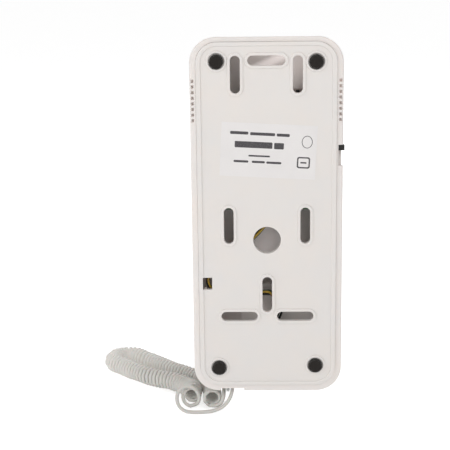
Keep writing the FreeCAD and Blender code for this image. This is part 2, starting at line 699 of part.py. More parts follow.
def handset_outer_shell():
    """The half of the handset that faces away from the wall."""
    body = new_body("handset_outer_shell")
    sketch = new_sketch(body, "back_profile", handset_side_x, "YZ_Plane")
    # (y, z)
    outline(sketch, [(-back_seam_depth, dim.handset_end_z),
                     (-dim.handset_end_depth, dim.handset_end_z),
                     (-dim.handset_end_depth, dim.handset_top_z),
                     (-back_seam_depth, dim.handset_top_z)],
            bow=(1, dim.handset_back_radius, -1))
    pad(body, sketch, dim.handset_half_w * 2.0)
    fillet(body, "back_corners", dim.handset_corner, is_handset_corner)
    fillet(body, "back_edges", dim.back_round, lambda edge: edge.BoundBox.YMax < -40.5)
    sketch = new_sketch(body, "back_hollow", back_seam_depth)
    round_rect(sketch, dim.handset_half_w - dim.shell_wall,
               (dim.handset_top_z - dim.handset_end_z) * 0.5 - dim.shell_wall,
               dim.handset_corner - dim.shell_wall, dim.handset_at_x, handset_mid_z)
    pocket(body, sketch, dim.back_hollow_len, to_front=True)
    sketch = new_sketch(body, "back_hollow_mid", dim.mid_hollow_depth)
    round_rect(sketch, dim.mid_hollow_half_w, dim.mid_hollow_half_len,
               dim.mid_hollow_corner, dim.handset_at_x, handset_mid_z)
    pocket(body, sketch, dim.mid_hollow_len, to_front=True)
    sketch = new_sketch(body, "back_jack_notch", back_seam_depth)
    rect(sketch, centred(dim.handset_at_x, dim.jack_notch_half_w), jack_notch_z_span)
    pocket(body, sketch, dim.back_notch_len, to_front=True)
    sketch = new_sketch(body, "back_screw_post", back_seam_depth)
    circle(sketch, dim.back_post_radius, dim.handset_at_x, dim.handset_screw_z)
    pad(body, sketch, dim.back_post_len)
    sketch = new_sketch(body, "back_screw_hole", back_seam_depth)
    circle(sketch, dim.back_screw_hole_radius, dim.handset_at_x, dim.handset_screw_z)
    pocket(body, sketch, dim.back_screw_hole_len, to_front=True)
    keep(body)


def grille(body):
    """Rings of holes over the receiver and three in a row over the microphone."""
    sketch = new_sketch(body, "ear_grille", dim.grille_depth)
    circle(sketch, dim.ear_hole_radius, dim.handset_at_x, dim.ear_centre_z)
    for ring_radius, count in ((5.0, 6), (10.0, 12)):
        for k in range(count):
            angle = 2 * math.pi * k / count
            circle(sketch, dim.ear_hole_radius,
                   dim.handset_at_x + ring_radius * math.cos(angle),
                   dim.ear_centre_z + ring_radius * math.sin(angle))
    for x_offset in (-4.5, 0.0, 4.5):
        circle(sketch, dim.mouth_hole_radius, dim.handset_at_x + x_offset, dim.microphone_z)
    pocket(body, sketch, dim.grille_len)


def handset_inner_shell():
    """The half of the handset that faces the wall, with both cups."""
    body = new_body("handset_inner_shell")
    sketch = new_sketch(body, "front_profile", handset_side_x, "YZ_Plane")
    seam, face, grip = (
        -dim.handset_seam_depth, -dim.cup_face_depth, -dim.grip_inner_depth)
    # (y, z)
    outline(sketch, [(seam, dim.handset_top_z), (face, dim.handset_top_z - dim.cup_inset),
                     (face, dim.ear_brow_z), (grip, dim.ear_valley_z),
                     (grip, dim.mouth_valley_z), (face, dim.mouth_brow_z),
                     (face, dim.handset_end_z + dim.cup_inset), (seam, dim.handset_end_z)],
            bow=(3, dim.grip_inner_radius, 1))
    pad(body, sketch, dim.handset_half_w * 2.0)
    fillet(body, "front_corners", dim.handset_corner, is_handset_corner)
    fillet(body, "cup_valleys", dim.valley_round, is_cup_valley)
    fillet(body, "cup_brows", dim.brow_round, is_cup_brow)
    for name, z in (("ear_hollow", dim.ear_centre_z), ("mouth_hollow", dim.mouth_hollow_z)):
        sketch = new_sketch(body, name, dim.handset_seam_depth)
        round_rect(sketch, dim.handset_half_w - dim.shell_wall, dim.cup_hollow_half_len,
                   dim.cup_hollow_corner, dim.handset_at_x, z)
        pocket(body, sketch, dim.cup_hollow_len)
    sketch = new_sketch(body, "front_jack_notch", dim.handset_seam_depth)
    rect(sketch, centred(dim.handset_at_x, dim.jack_notch_half_w), jack_notch_z_span)
    pocket(body, sketch, dim.front_notch_len)
    grille(body)
    sketch = new_sketch(body, "screw_tube", dim.screw_tube_depth)
    circle(sketch, dim.screw_tube_radius, dim.handset_at_x, dim.handset_screw_z)
    pad(body, sketch, dim.screw_tube_len)
    for name, radius, length in (
            ("screw_sink", dim.screw_sink_radius, dim.screw_sink_len),
            ("screw_way", dim.screw_way_radius, dim.screw_way_len)):
        sketch = new_sketch(body, name, dim.screw_start_depth)
        circle(sketch, radius, dim.handset_at_x, dim.handset_screw_z)
        pocket(body, sketch, length, to_front=True)
    keep(body)


# -------------------------------------------------------- plug latches
def base_plug_latch():
    body = new_body("base_plug_latch")
    sketch = new_sketch(body, "latch_shape", dim.base_latch_depth)
    # (x, z)
    outline(sketch, [(22.9, -97.0), (22.9, -87.0), (23.6, -87.0), (23.9, -97.0),
                     (23.3, -100.2), (23.3, -101.6), (21.4, -101.6), (21.4, -100.7),
                     (22.6, -100.2)])
    pad(body, sketch, dim.latch_half_w * 2.0)
    return body


def handset_plug_latch():
    body = new_body("handset_plug_latch")
    sketch = new_sketch(body, "handset_latch_shape", dim.handset_at_x - dim.latch_half_w,
                        "YZ_Plane")
    # (y, z)
    outline(sketch, [(-28.6, -90.6), (-28.6, -88.5), (-27.4, -90.9), (-26.0, -92.8),
                     (-26.8, -93.4)])
    pad(body, sketch, dim.latch_half_w * 2.0)
    return body


# ------------------------------------------------ wall pads and label
def wall_pads():
    keep(group("wall_pads", [
        cylinder("wall_pad_" + letter, x, z, (0.0, dim.pad_seat_depth), dim.pad_radius)
        for letter, (x, z) in zip("abcd", pad_centres)]))


def rating_label():
    """A thin label on the rear panel, turned slightly in its plane."""
    turn_deg = 3.1
    cosine, sine = math.cos(math.radians(turn_deg)), math.sin(math.radians(turn_deg))
    label = add_object("Part::Box", "rating_label")
    bind(label, "Length", dim.label_half_w * 2.0)
    bind(label, "Width", dim.label_thick)
    bind(label, "Height", dim.label_half_tall * 2.0)
    label.Placement = Placement(Vector(), Rotation(Vector(0, 1, 0), -turn_deg))
    # The box turns about its low left corner, so that corner is found from the centre.
    place(label,
          dim.label_centre_x - dim.label_half_w * cosine + dim.label_half_tall * sine,
          "_far_depth", dim.label_front_depth,
          dim.label_centre_z - dim.label_half_w * sine - dim.label_half_tall * cosine)
    keep(label)


# ------------------------------------------------------- circuit board
board_front = 8.4   # depth where the parts on the front of the board start
board_back = 6.7    # depth where the parts on its wall side end
# Letters run right, left along the low row, then along the high row.
board_corners = sorted(zip("acbd", post_centres))


def main_board():
    blank = box("board_blank", (-32.4, 32.0), (6.75, 8.35), (4.1, 69.7))
    holes = group("board_holes", [cylinder("board_hole_" + letter, x, z, (6.0, 9.0), 1.4)
                                  for letter, (x, z) in board_corners])
    step = box("board_step", (4.0, 34.0), (6.0, 9.0), (66.2, 71.0))
    keep(cut("main_board", blank, group("board_cuts", [holes, step])))


def board_screws():
    """Screws with a cross-shaped drive."""
    drive_depth, long_half, short_half = (9.3, 10.2), 1.5, 0.3
    screws = []
    for letter, (x, z) in board_corners:
        head = cylinder("board_screw_head_" + letter, x, z, (board_front, 9.9), 2.3)
        shank = cylinder("board_screw_shank_" + letter, x, z, (4.6, 8.5), 0.95)
        across = box("board_screw_drive_" + letter, centred(x, long_half), drive_depth,
                     centred(z, short_half))
        upright = box("board_screw_cross_" + letter, centred(x, short_half), drive_depth,
                      centred(z, long_half))
        screws.append(cut("board_screw_" + letter,
                          fuse("board_screw_body_" + letter, [head, shank]),
                          group("board_screw_slots_" + letter, [across, upright])))
    keep(group("board_screws", screws))


def terminals():
    """Four-way screw terminal for the riser cable, on the front of the board."""
    first_x, pitch, screw_z = -16.0, 8.0, 10.5
    ways = [(letter, first_x + pitch * i) for i, letter in enumerate("abcd")]
    blank = box("terminal_block_blank", (-20.0, 12.0), (board_front, 17.4), (6.0, 15.0))
    cuts = []
    for letter, x in ways:
        cuts.append(box("terminal_entry_" + letter, centred(x, 2.2), (10.2, 14.6),
                        (5.5, 12.0)))
        cuts.append(cylinder("terminal_well_" + letter, x, screw_z, (14.0, 18.0), 2.2))
    keep(cut("terminal_block", blank, group("terminal_cuts", cuts)))
    keep(group("terminal_screws", [
        cut("terminal_screw_" + letter,
            cylinder("terminal_screw_blank_" + letter, x, screw_z, (14.7, 16.8), 1.9),
            box("terminal_screw_slot_" + letter, centred(x, 2.5), (16.2, 17.2),
                centred(screw_z, 0.3)))
        for letter, x in ways]))


def switches():
    keep(box("volume_switch", (-32.6, -27.4), (3.75, board_back), (24.5, 43.9)))
    keys = (("door", dim.door_button_z), ("aux", dim.aux_button_z))
    keep(group("button_switches", [
        cut("tact_" + name,
            box("tact_body_" + name, centred(dim.button_at_x, 3.0), (board_front, 11.9),
                centred(z, 3.0)),
            cylinder("tact_bore_" + name, dim.button_at_x, z, (9.2, 12.2), 1.75))
        for name, z in keys]))
    for name, z in keys:
        keep(cylinder(name + "_switch_stem", dim.button_at_x, z, (10.9, 13.7), 1.65))
    keep(cut("hook_switch",
             box("hook_switch_blank", (-0.4, 6.4), (board_front, 14.6), (21.0, 34.0)),
             cylinder("hook_switch_hole", 3.0, 22.6, (8.0, 15.0), 0.8)))


def board_components():
    x, z = -21.0, 51.5
    keep(cut("sounder", cylinder("sounder_can", x, z, (board_front, 12.8), 9.0),
             cylinder("sounder_port", x, z, (12.0, 13.0), 1.6)))
    keep(group("capacitors", [
        cylinder("capacitor_a", 14.5, 32.0, (board_front, 16.0), 3.0),
        cylinder("capacitor_b", 14.5, 24.0, (board_front, 16.0), 3.0),
        cylinder("capacitor_c", -24.5, 24.0, (board_front, 17.5), 4.0)]))
    keep(group("board_chips", [
        box("chip_control", (-4.0, 6.0), (board_front, 10.2), (46.0, 56.0)),
        box("chip_audio", (9.0, 15.0), (board_front, 10.0), (58.0, 63.0)),
        box("chip_rear", (-17.6, -15.8), (5.95, board_back), (67.7, 69.3))]))


def hook_spring():
    """A spring behind the hook plunger."""
    turns, near, far = 6.0, 8.7, 14.45
    radius = dim.hook_spring_radius.value
    helix = Part.makeHelix((far - near) / turns, far - near, radius)
    section = Part.Circle(Vector(radius, 0, 0), Vector(0, 1, 0), dim.hook_spring_wire.value)
    ring = Part.Wire([section.toShape()])
    spring = fixed_shape("hook_spring",
                         Part.Wire(helix.Edges).makePipeShell([ring], True, True))
    spring.Placement = Placement(Vector(dim.handset_at_x.value, -near, dim.hook_z.value),
                                 Rotation(Vector(1, 0, 0), 90))
    keep(spring)


def volume_slider():
    keep(fuse("volume_slider", [
        box("volume_knob", (-41.55, -38.45), (2.35, 5.75), (37.15, 39.95)),
        box("volume_stem", (-38.6, -33.4), (4.5, 5.6), (37.85, 39.25))]))


# ------------------------------------------- base socket and its wires
def base_socket(latch):
    jack = box("base_jack_blank", (13.4, 26.1), (3.9, 12.85), (-94.9, -80.0))
    bore = box("base_jack_bore", (16.35, 23.35), (4.5, 12.3), (-96.0, -83.5))
    latch_way = box("base_jack_latch_way", (23.3, 25.4), (6.6, 10.2), (-96.0, -83.5))
    keep(cut("base_jack", jack, group("base_jack_cuts", [bore, latch_way])))
    plug = box("base_plug_body", (16.5, 23.1), (4.6, 12.2), (-97.0, -84.0))
    keep(fuse("base_plug", [plug, latch]))


# Corner points (x, y, z) from the header on the board to the base socket
wire_paths = {
    "wire_black": [
        (-13.8, -5.2, 5.9), (-13.8, -5.2, 1.8), (-9.0, -8.0, -2.2), (-1.0, -8.8, -4.0),
        (4.4, -8.8, -8.0), (7.4, -8.8, -12.2), (17.0, -8.6, -21.6), (28.6, -8.2, -28.6),
        (33.0, -8.2, -34.4), (33.2, -8.2, -38.6), (29.6, -8.4, -43.6), (16.0, -8.8, -44.7),
        (4.0, -8.8, -44.7), (-2.4, -8.8, -44.8), (-6.8, -8.8, -46.9), (-8.1, -8.8, -51.4),
        (-7.9, -8.8, -55.9), (-5.9, -8.8, -60.2), (-0.5, -8.8, -65.4), (8.0, -8.8, -71.2),
        (15.2, -8.8, -75.4), (15.2, -8.8, -79.6)],
    "wire_yellow": [
        (-11.4, -5.2, 5.9), (-11.4, -5.2, 2.4), (-5.6, -7.0, -1.0), (1.0, -7.0, -5.4),
        (4.6, -7.0, -9.3), (8.6, -7.0, -13.4), (17.8, -6.9, -21.4), (29.4, -6.4, -30.2),
        (32.8, -6.2, -34.9), (31.6, -6.3, -39.2), (28.6, -6.4, -42.4), (16.5, -6.9, -43.0),
        (4.0, -7.0, -42.9), (-1.4, -7.0, -42.9), (-4.4, -7.0, -46.4), (-4.7, -7.0, -52.4),
        (-2.9, -7.0, -58.6), (1.6, -7.0, -65.4), (9.0, -7.0, -71.6), (17.6, -6.8, -75.6),
        (17.6, -6.8, -79.6)],
    "wire_green": [
        (-8.8, -5.2, 5.9), (-8.8, -5.2, 2.8), (-5.0, -10.4, -1.0), (0.4, -10.4, -5.6),
        (4.4, -10.4, -10.6), (12.0, -10.4, -18.0), (23.0, -10.0, -28.0),
        (29.8, -9.6, -33.8), (30.2, -9.7, -38.4), (27.0, -9.9, -41.8),
        (17.0, -10.4, -43.0), (4.0, -10.4, -43.2), (-2.0, -10.4, -43.3),
        (-5.6, -10.4, -46.2), (-6.7, -10.4, -51.4), (-6.5, -10.4, -55.8),
        (-4.4, -10.4, -60.4), (1.4, -10.4, -65.8), (10.6, -10.4, -71.4),
        (20.2, -9.6, -75.2), (20.2, -9.6, -79.6)],
    "wire_red": [
        (-6.4, -5.2, 5.9), (-6.4, -5.2, 3.2), (-1.5, -12.0, 0.5), (6.2, -12.0, -8.0),
        (13.5, -12.0, -17.5), (23.0, -11.6, -28.0), (28.2, -11.2, -35.0),
        (26.0, -11.4, -40.6), (15.0, -12.0, -44.9), (4.0, -12.0, -45.3),
        (-1.6, -12.0, -45.3), (-4.3, -12.0, -48.2), (-4.8, -12.0, -53.0),
        (-3.6, -12.0, -58.2), (1.0, -12.0, -64.6), (10.4, -12.0, -71.0),
        (22.8, -11.6, -75.2), (22.8, -11.6, -79.6)],
}


def base_wires():
    for name, path in wire_paths.items():
        keep(fixed_shape(name, tube(path, dim.wire_radius)))


# ---------------------------------------------------- handset fittings
def handset_rod(label, z, depth_span, radius):
    """A round piece on the handset's centre line."""
    return cylinder(label, dim.handset_at_x, z, depth_span, radius)


def handset_box(label, half_w, depth_span, z_span):
    """A block centred across the handset."""
    return box(label, centred(dim.handset_at_x, half_w), depth_span, z_span)


def handset_fittings(latch):
    z = dim.handset_screw_z
    keep(fuse("handset_screw", [handset_rod("handset_screw_head", z, (28.0, 29.9), 2.4),
                                handset_rod("handset_screw_shank", z, (29.8, 37.4), 1.05)]))
    z = dim.ear_centre_z
    keep(cut("receiver_gasket", handset_rod("gasket_blank", z, (18.55, 20.5), 15.8),
             handset_rod("gasket_bore", z, (18.0, 21.0), 12.6)))
    keep(fuse("receiver_capsule", [handset_rod("receiver_rim", z, (20.55, 23.0), 16.0),
                                   handset_rod("receiver_magnet", z, (22.9, 28.5), 9.5)]))
    z = dim.microphone_z
    keep(cut("microphone_boot", handset_rod("boot_blank", z, (18.55, 25.0), 6.6),
             handset_rod("boot_bore", z, (18.0, 26.0), 4.95)))
    keep(handset_rod("microphone_capsule", z, (19.0, 24.6), 4.9))
    keep(handset_box("ballast_weight", 13.0, (33.3, 38.0), (-30.0, 30.0)))
    keep(cut("handset_jack",
             handset_box("handset_jack_blank", 6.2, (26.6, 37.2), (-84.4, -73.0)),
             handset_box("handset_jack_bore", 4.0, (28.3, 35.3), (-86.0, -75.0))))
    plug = handset_box("handset_plug_body", 3.8, (28.4, 35.1), (-92.0, -75.4))
    keep(fuse("handset_plug", [plug, latch]))


# Corner points (x, y, z): two wires to the receiver, then two to the microphone
handset_wire_paths = [
    [(-12.0, -36.6, -72.8), (-12.0, -36.6, -68.0), (-15.0, -36.2, -60.0),
     (-27.0, -36.2, -42.0), (-27.0, -36.2, 30.0), (-24.0, -36.2, 50.0),
     (-15.0, -34.0, 57.0), (-13.0, -29.4, 60.0)],
    [(-9.0, -35.0, -72.8), (-9.0, -35.0, -69.0), (-14.0, -34.4, -60.0),
     (-25.3, -34.4, -42.0), (-25.3, -34.4, 30.0), (-21.0, -34.4, 51.0),
     (-12.0, -33.0, 58.0), (-9.0, -29.4, 62.0)],
    [(-6.0, -36.6, -72.8), (-6.0, -36.6, -70.0), (-1.5, -34.0, -66.0),
     (-2.5, -28.0, -66.0), (-8.0, -25.6, -71.0)],
    [(-7.4, -35.0, -72.8), (-7.4, -35.0, -70.6), (0.5, -33.5, -63.8),
     (0.5, -28.0, -64.5), (-9.5, -25.6, -74.0)],
]


def handset_wires():
    keep(fixed_shape("handset_wires", Part.makeCompound(
        [tube(path, dim.handset_wire_radius, bend=3.0) for path in handset_wire_paths])))


# --------------------------------------------------------- coiled cord
coil_z = dim.coil_at_z.value
# The coil lies level, so its corner points are (x, y).
coil_path = [
    (43.6, -11.0), (42.9, -23.0), (57.6, -36.6), (69.5, -43.0), (99.5, -73.0),
    (91.0, -85.2), (78.5, -76.5), (57.0, -53.0), (43.4, -41.2), (31.3, -23.5),
    (31.3, -6.5)]
# Straight leads, (x, y, z), from the coil's ends to the two plugs
base_lead = [
    (43.6, -12.5, coil_z), (47.6, -9.0, -100.9), (50.6, -6.4, -103.4),
    (50.6, -4.4, -107.0), (47.0, -1.7, -110.0), (42.4, -1.35, -110.2),
    (36.9, -1.6, -110.2), (31.0, -3.2, -110.1), (26.6, -4.6, -109.0),
    (23.2, -5.6, -106.7), (20.8, -6.9, -103.6), (19.9, -7.9, -100.6), (19.8, -8.4, -97.1)]
handset_lead = [
    (31.3, -8.5, coil_z), (27.6, -7.4, -109.0), (25.2, -8.0, -105.4),
    (24.7, -11.2, -101.9), (24.5, -17.0, -101.3), (23.0, -27.0, -101.3),
    (16.0, -37.0, -101.1), (4.0, -41.0, -100.3), (-5.6, -37.0, -98.6),
    (-10.0, -31.75, -96.0), (-10.0, -31.75, -92.1)]


def coiled_cord():
    """The coil is one smooth tube of its outer radius."""
    coil = tube([(x, y, coil_z) for x, y in coil_path], dim.coil_radius, bend=9.5)
    leads = [tube(path, dim.lead_radius) for path in (base_lead, handset_lead)]
    keep(fixed_shape("coiled_cord", coil.fuse(leads)))


# --------------------------------------------------------------- build
rear_cover()
front_cover()
key("door", dim.door_button_z, dim.door_half_tall)
key("aux", dim.aux_button_z, dim.aux_half_tall)
hook_plunger()
handset_outer_shell()
handset_inner_shell()
base_latch = base_plug_latch()
handset_latch = handset_plug_latch()
wall_pads()
rating_label()
main_board()
board_screws()
terminals()
keep(box("wire_header", (-15.5, -4.5), (3.9, board_back), (6.0, 12.0)))
switches()
board_components()
hook_spring()
volume_slider()
base_socket(base_latch)
base_wires()
handset_fittings(handset_latch)
handset_wires()
coiled_cord()

# ------------------------------------------------------ check and write
doc.recompute()
for obj in doc.Objects:
    if "Invalid" in obj.State or "Error" in obj.State:
        raise RuntimeError("%s failed: %s" % (obj.Name, obj.State))
os.makedirs("parts", exist_ok=True)
for obj in nodes:
    if obj.Shape.isNull() or not obj.Shape.isValid() or not obj.Shape.Solids:
        raise RuntimeError("%s has no valid shape" % obj.Label)
for obj in nodes:
    obj.Shape.exportStep("parts/%s.step" % obj.Label)
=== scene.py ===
# A wall-mounted base with its handset and coiled cord, standing on its foot.
# X runs across the base, +Y points out of its back (foam pads, rating label), +Z is up.
# The handset lies on the -Y side. The camera looks at the back, so -X is on its right.
# The pieces come from CAD; the cord, the pads and the label print are built here, in mm.
import json
import math

import bmesh
import bpy
import numpy as np
from mathutils import Matrix, Vector


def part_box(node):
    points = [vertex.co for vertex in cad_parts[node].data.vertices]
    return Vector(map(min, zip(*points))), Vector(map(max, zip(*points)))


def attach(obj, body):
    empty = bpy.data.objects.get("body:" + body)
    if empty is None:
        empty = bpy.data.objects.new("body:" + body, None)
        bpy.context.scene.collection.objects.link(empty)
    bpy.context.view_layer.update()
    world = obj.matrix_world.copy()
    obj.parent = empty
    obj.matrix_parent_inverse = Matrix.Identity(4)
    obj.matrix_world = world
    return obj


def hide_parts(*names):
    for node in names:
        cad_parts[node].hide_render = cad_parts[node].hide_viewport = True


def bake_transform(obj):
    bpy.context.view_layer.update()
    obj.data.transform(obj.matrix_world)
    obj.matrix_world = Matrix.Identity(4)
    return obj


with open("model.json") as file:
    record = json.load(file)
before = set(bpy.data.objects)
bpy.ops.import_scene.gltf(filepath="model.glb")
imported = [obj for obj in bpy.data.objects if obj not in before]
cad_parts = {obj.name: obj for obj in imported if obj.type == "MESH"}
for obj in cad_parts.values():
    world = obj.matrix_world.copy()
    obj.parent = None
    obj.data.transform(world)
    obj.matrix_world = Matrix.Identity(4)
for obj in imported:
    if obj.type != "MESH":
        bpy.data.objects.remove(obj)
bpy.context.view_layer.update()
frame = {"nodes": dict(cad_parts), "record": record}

MM = 0.001
FLOOR_Z = -111.3                # underside of the coil
rng = np.random.default_rng(7)


# ------------------------------------------------------------ colours
def srgb(*channels):
    """Linear RGBA from 0-255 sRGB."""
    shares = [c / 255.0 for c in channels]
    return tuple(c / 12.92 if c <= 0.04045 else ((c + 0.055) / 1.055) ** 2.4
                 for c in shares) + (1.0,)


def grey(level):
    return (level, level, level, 1)


def scaled(colour, red, green, blue):
    return (colour[0] * red, colour[1] * green, colour[2] * blue, 1)


# ------------------------------------------------------------ material helper
class Shader:
    """A short way to write a node material. Lengths are in metres."""

    def __init__(self, name):
        self.mat = bpy.data.materials.new(name)
        self.mat.use_nodes = True
        self.tree = self.mat.node_tree
        self.tree.nodes.clear()
        output = self.node("ShaderNodeOutputMaterial")
        self.bsdf = self.node("ShaderNodeBsdfPrincipled")
        self.feed(output.inputs[0], self.bsdf.outputs[0])
        self.coord = self.node("ShaderNodeTexCoord").outputs["Object"]

    def node(self, kind, **props):
        node = self.tree.nodes.new(kind)
        for key, value in props.items():
            setattr(node, key, value)
        return node

    def feed(self, socket, value):
        """Link an output to the socket, or set a plain value on it."""
        if isinstance(value, bpy.types.NodeSocket):
            self.tree.links.new(value, socket)
        else:
            socket.default_value = value

    def fill(self, node, **values):
        """Feed a node's inputs by name, with _ for each space."""
        for key, value in values.items():
            self.feed(node.inputs[key.replace("_", " ")], value)
        return node

    def set(self, **values):
        self.fill(self.bsdf, **values)

    def mapping(self, scale, rotation=(0, 0, 0)):
        node = self.node("ShaderNodeMapping")
        return self.fill(node, Scale=scale, Rotation=rotation, Vector=self.coord).outputs[0]

    def noise(self, scale, detail=4.0, rough=0.55, vector=None):
        node = self.node("ShaderNodeTexNoise")
        self.fill(node, Scale=scale, Detail=detail, Roughness=rough, Vector=vector or self.coord)
        return node.outputs["Fac"]

    def voronoi(self, scale, vector=None):
        node = self.node("ShaderNodeTexVoronoi", feature="F1")
        return self.fill(node, Scale=scale, Vector=vector or self.coord).outputs["Distance"]

    def ramp(self, fac, stops):
        """Stops are (position, colour), in rising order."""
        node = self.node("ShaderNodeValToRGB")
        elements = node.color_ramp.elements
        elements[0].position, elements[0].color = stops[0]
        elements[1].position, elements[1].color = stops[-1]
        for position, colour in stops[1:-1]:
            elements.new(position).color = colour
        return self.fill(node, Fac=fac).outputs["Color"]

    def remap(self, value, over, to):
        node = self.node("ShaderNodeMapRange")
        self.fill(node, From_Min=over[0], From_Max=over[1], To_Min=to[0], To_Max=to[1],
                  Value=value)
        return node.outputs["Result"]

    def mix(self, fac, a, b, blend="MIX"):
        node = self.node("ShaderNodeMix", data_type="RGBA", blend_type=blend)
        # sockets 0, 6 and 7 are the factor and the two colours
        for index, value in ((0, fac), (6, a), (7, b)):
            self.feed(node.inputs[index], value)
        return node.outputs[2]

    def math(self, operation, a, b=0.0):
        node = self.node("ShaderNodeMath", operation=operation)
        self.feed(node.inputs[0], a)
        self.feed(node.inputs[1], b)
        return node.outputs[0]

    def product(self, first, *others):
        for other in others:
            first = self.math("MULTIPLY", first, other)
        return first

    def between(self, value, low, high):
        return self.product(self.math("LESS_THAN", value, high),
                            self.math("GREATER_THAN", value, low))

    def split(self, vector):
        node = self.node("ShaderNodeSeparateXYZ")
        self.feed(node.inputs[0], vector)
        return node.outputs

    def bump(self, height, strength, distance, edge=None):
        """Bump, over edges rounded to the radius edge if it is given."""
        values = dict(Strength=strength, Distance=distance, Height=height)
        if edge is not None:
            bevel = self.node("ShaderNodeBevel", samples=6)
            values["Normal"] = self.fill(bevel, Radius=edge).outputs[0]
        return self.fill(self.node("ShaderNodeBump"), **values).outputs[0]

    def paint_crevice_shade(self, colour, distance=0.0014, low=0.06, high=0.42, strength=0.32,
                tint=(0.52, 0.49, 0.47, 1)):
        """Painted shade: darken narrow gaps and slots by ambient occlusion, where light doesn't
        reach.
        """
        ao = self.node("ShaderNodeAmbientOcclusion", samples=8)
        self.fill(ao, Distance=distance)
        # painted shade: how much the gap is darkened, from the ambient occlusion
        shade_amount = self.remap(ao.outputs["AO"], over=(low, high), to=(strength, 0.0))
        return self.mix(shade_amount, colour, self.mix(1.0, colour, tint, "MULTIPLY"))


# ------------------------------------------------------------ materials
def paint_inner_light(n, strength):
    """Painted light: the inside of the front shell glows, standing in for the light that reaches
    it through the slots; most high on the -X side and behind the hole.
    """
    x, y, z = n.split(n.coord)
    normal = n.split(n.node("ShaderNodeNewGeometry").outputs["Normal"])
    # the lit space narrows with depth beyond 3 mm, between the side walls and the ends
    depth = n.math("MAXIMUM", n.math("SUBTRACT", n.math("MULTIPLY", y, -1.0), 0.003), 0.0)
    slope = n.math("MULTIPLY", depth, -0.287)
    centred_z = n.math("ADD", z, 0.00055)
    inside = n.product(
        n.math("LESS_THAN", n.math("ABSOLUTE", x), n.math("ADD", slope, 0.0396)),
        n.math("LESS_THAN", n.math("ABSOLUTE", centred_z), n.math("ADD", slope, 0.0972)),
        n.math("LESS_THAN", y, -0.0024),
        n.math("GREATER_THAN", y, -0.0212),
        n.remap(normal[1], over=(-0.35, -0.1), to=(0.0, 1.0)))
    # painted light high up, stronger towards -X
    top = n.product(n.remap(z, over=(0.061, 0.083), to=(0.0, 1.0)),
                    n.remap(x, over=(0.024, -0.006), to=(0.06, 1.05)))
    # a painted highlight: a slanting streak across the top slot
    slant = n.math("ADD", n.math("MULTIPLY", x, 0.45), z)
    streak = n.product(n.remap(slant, over=(0.0790, 0.0815), to=(0.0, 1.0)),
                       n.remap(slant, over=(0.0835, 0.0860), to=(1.0, 0.0)))
    streak = n.product(streak, n.product(n.remap(z, over=(0.074, 0.078), to=(0.0, 1.6)),
                                         n.remap(x, over=(0.011, 0.006), to=(0.0, 1.0))))
    # painted light round the cable hole; the factor on x would widen or narrow the patch
    across = n.math("MULTIPLY", x, 1.0)
    above = n.math("ADD", z, 0.0190)
    away = n.math("SQRT", n.math("ADD", n.product(across, across), n.product(above, above)))
    hole = n.remap(away, over=(0.0130, 0.002), to=(0.0, 1.05))
    # painted light behind the two level slots near the foot
    low = n.product(n.remap(z, over=(-0.051, -0.057), to=(0.0, 0.30)),
                    n.remap(z, over=(-0.075, -0.064), to=(0.3, 1.0)))
    sides = n.remap(n.math("ABSOLUTE", x), over=(0.034, 0.0375), to=(0.0, 0.25))
    level = n.math("ADD", n.math("ADD", top, streak), n.math("ADD", hole, low))
    level = n.math("ADD", level, sides)
    patches = n.noise(scale=60.0, detail=3.0)
    level = n.product(level, n.remap(patches, over=(0.3, 0.7), to=(0.9, 1.1)))
    # painted light in the side vents
    vent = n.product(n.between(n.math("ABSOLUTE", x), low=0.0384, high=0.0401),
                     n.between(y, low=-0.0059, high=-0.0021),
                     n.between(z, low=0.0515, high=0.0768))
    vent = n.math("MULTIPLY", vent, 0.32)
    level = n.math("ADD", n.product(inside, level), vent)
    # painted light: the summed patches become emission on the shell's inside
    n.set(Emission_Color=(1.0, 0.91, 0.89, 1), Emission_Strength=n.product(level, strength))


def plastic(name, colour, rough, grain, depth, strength, mottle, dust,
            soft=0.0, edge=0.0002, painted_light_strength=0.0):
    """Moulded plastic: spark-eroded grain, faint flow mottling, dust specks, soft edges, painted
    shade in narrow gaps, and painted light glowing on the inside when asked.
    """
    n = Shader(name)
    cool = scaled(colour, 1 - mottle, 1 - mottle * 0.5, 1)
    warm = scaled(colour, 1 + mottle, 1, 1 - mottle)
    col = n.ramp(n.noise(scale=38.0, detail=5.0, rough=0.6), [(0.3, cool), (0.7, warm)])
    speck = n.ramp(n.voronoi(scale=620.0), [(0.0, (0.78, 0.76, 0.72, 1)),
                                            (0.035, (0.93, 0.92, 0.9, 1)), (0.06, grey(1))])
    rare = n.ramp(n.noise(scale=90.0, detail=2.0), [(0.56, grey(0)), (0.62, grey(1))])
    dusty = n.product(rare, dust)
    col = n.mix(dusty, col, n.mix(1.0, col, speck, "MULTIPLY"))
    # painted shade: narrow gaps and slots darkened on every plastic
    n.set(Base_Color=n.paint_crevice_shade(col))
    # painted light: emission on the inside of the front shell
    if painted_light_strength:
        paint_inner_light(n, painted_light_strength)
    fine = n.noise(scale=grain, detail=3.0, rough=0.6)
    sheen = n.noise(scale=140.0, detail=4.0, rough=0.6)
    n.set(Roughness=n.remap(sheen, over=(0.3, 0.7), to=(rough - 0.05, rough + 0.07)),
          Normal=n.bump(fine, strength, depth, edge), IOR=1.49)
    if soft:
        n.set(Subsurface_Weight=soft, Subsurface_Scale=0.0012,
              Subsurface_Radius=(1.0, 0.75, 0.6))
    return n.mat


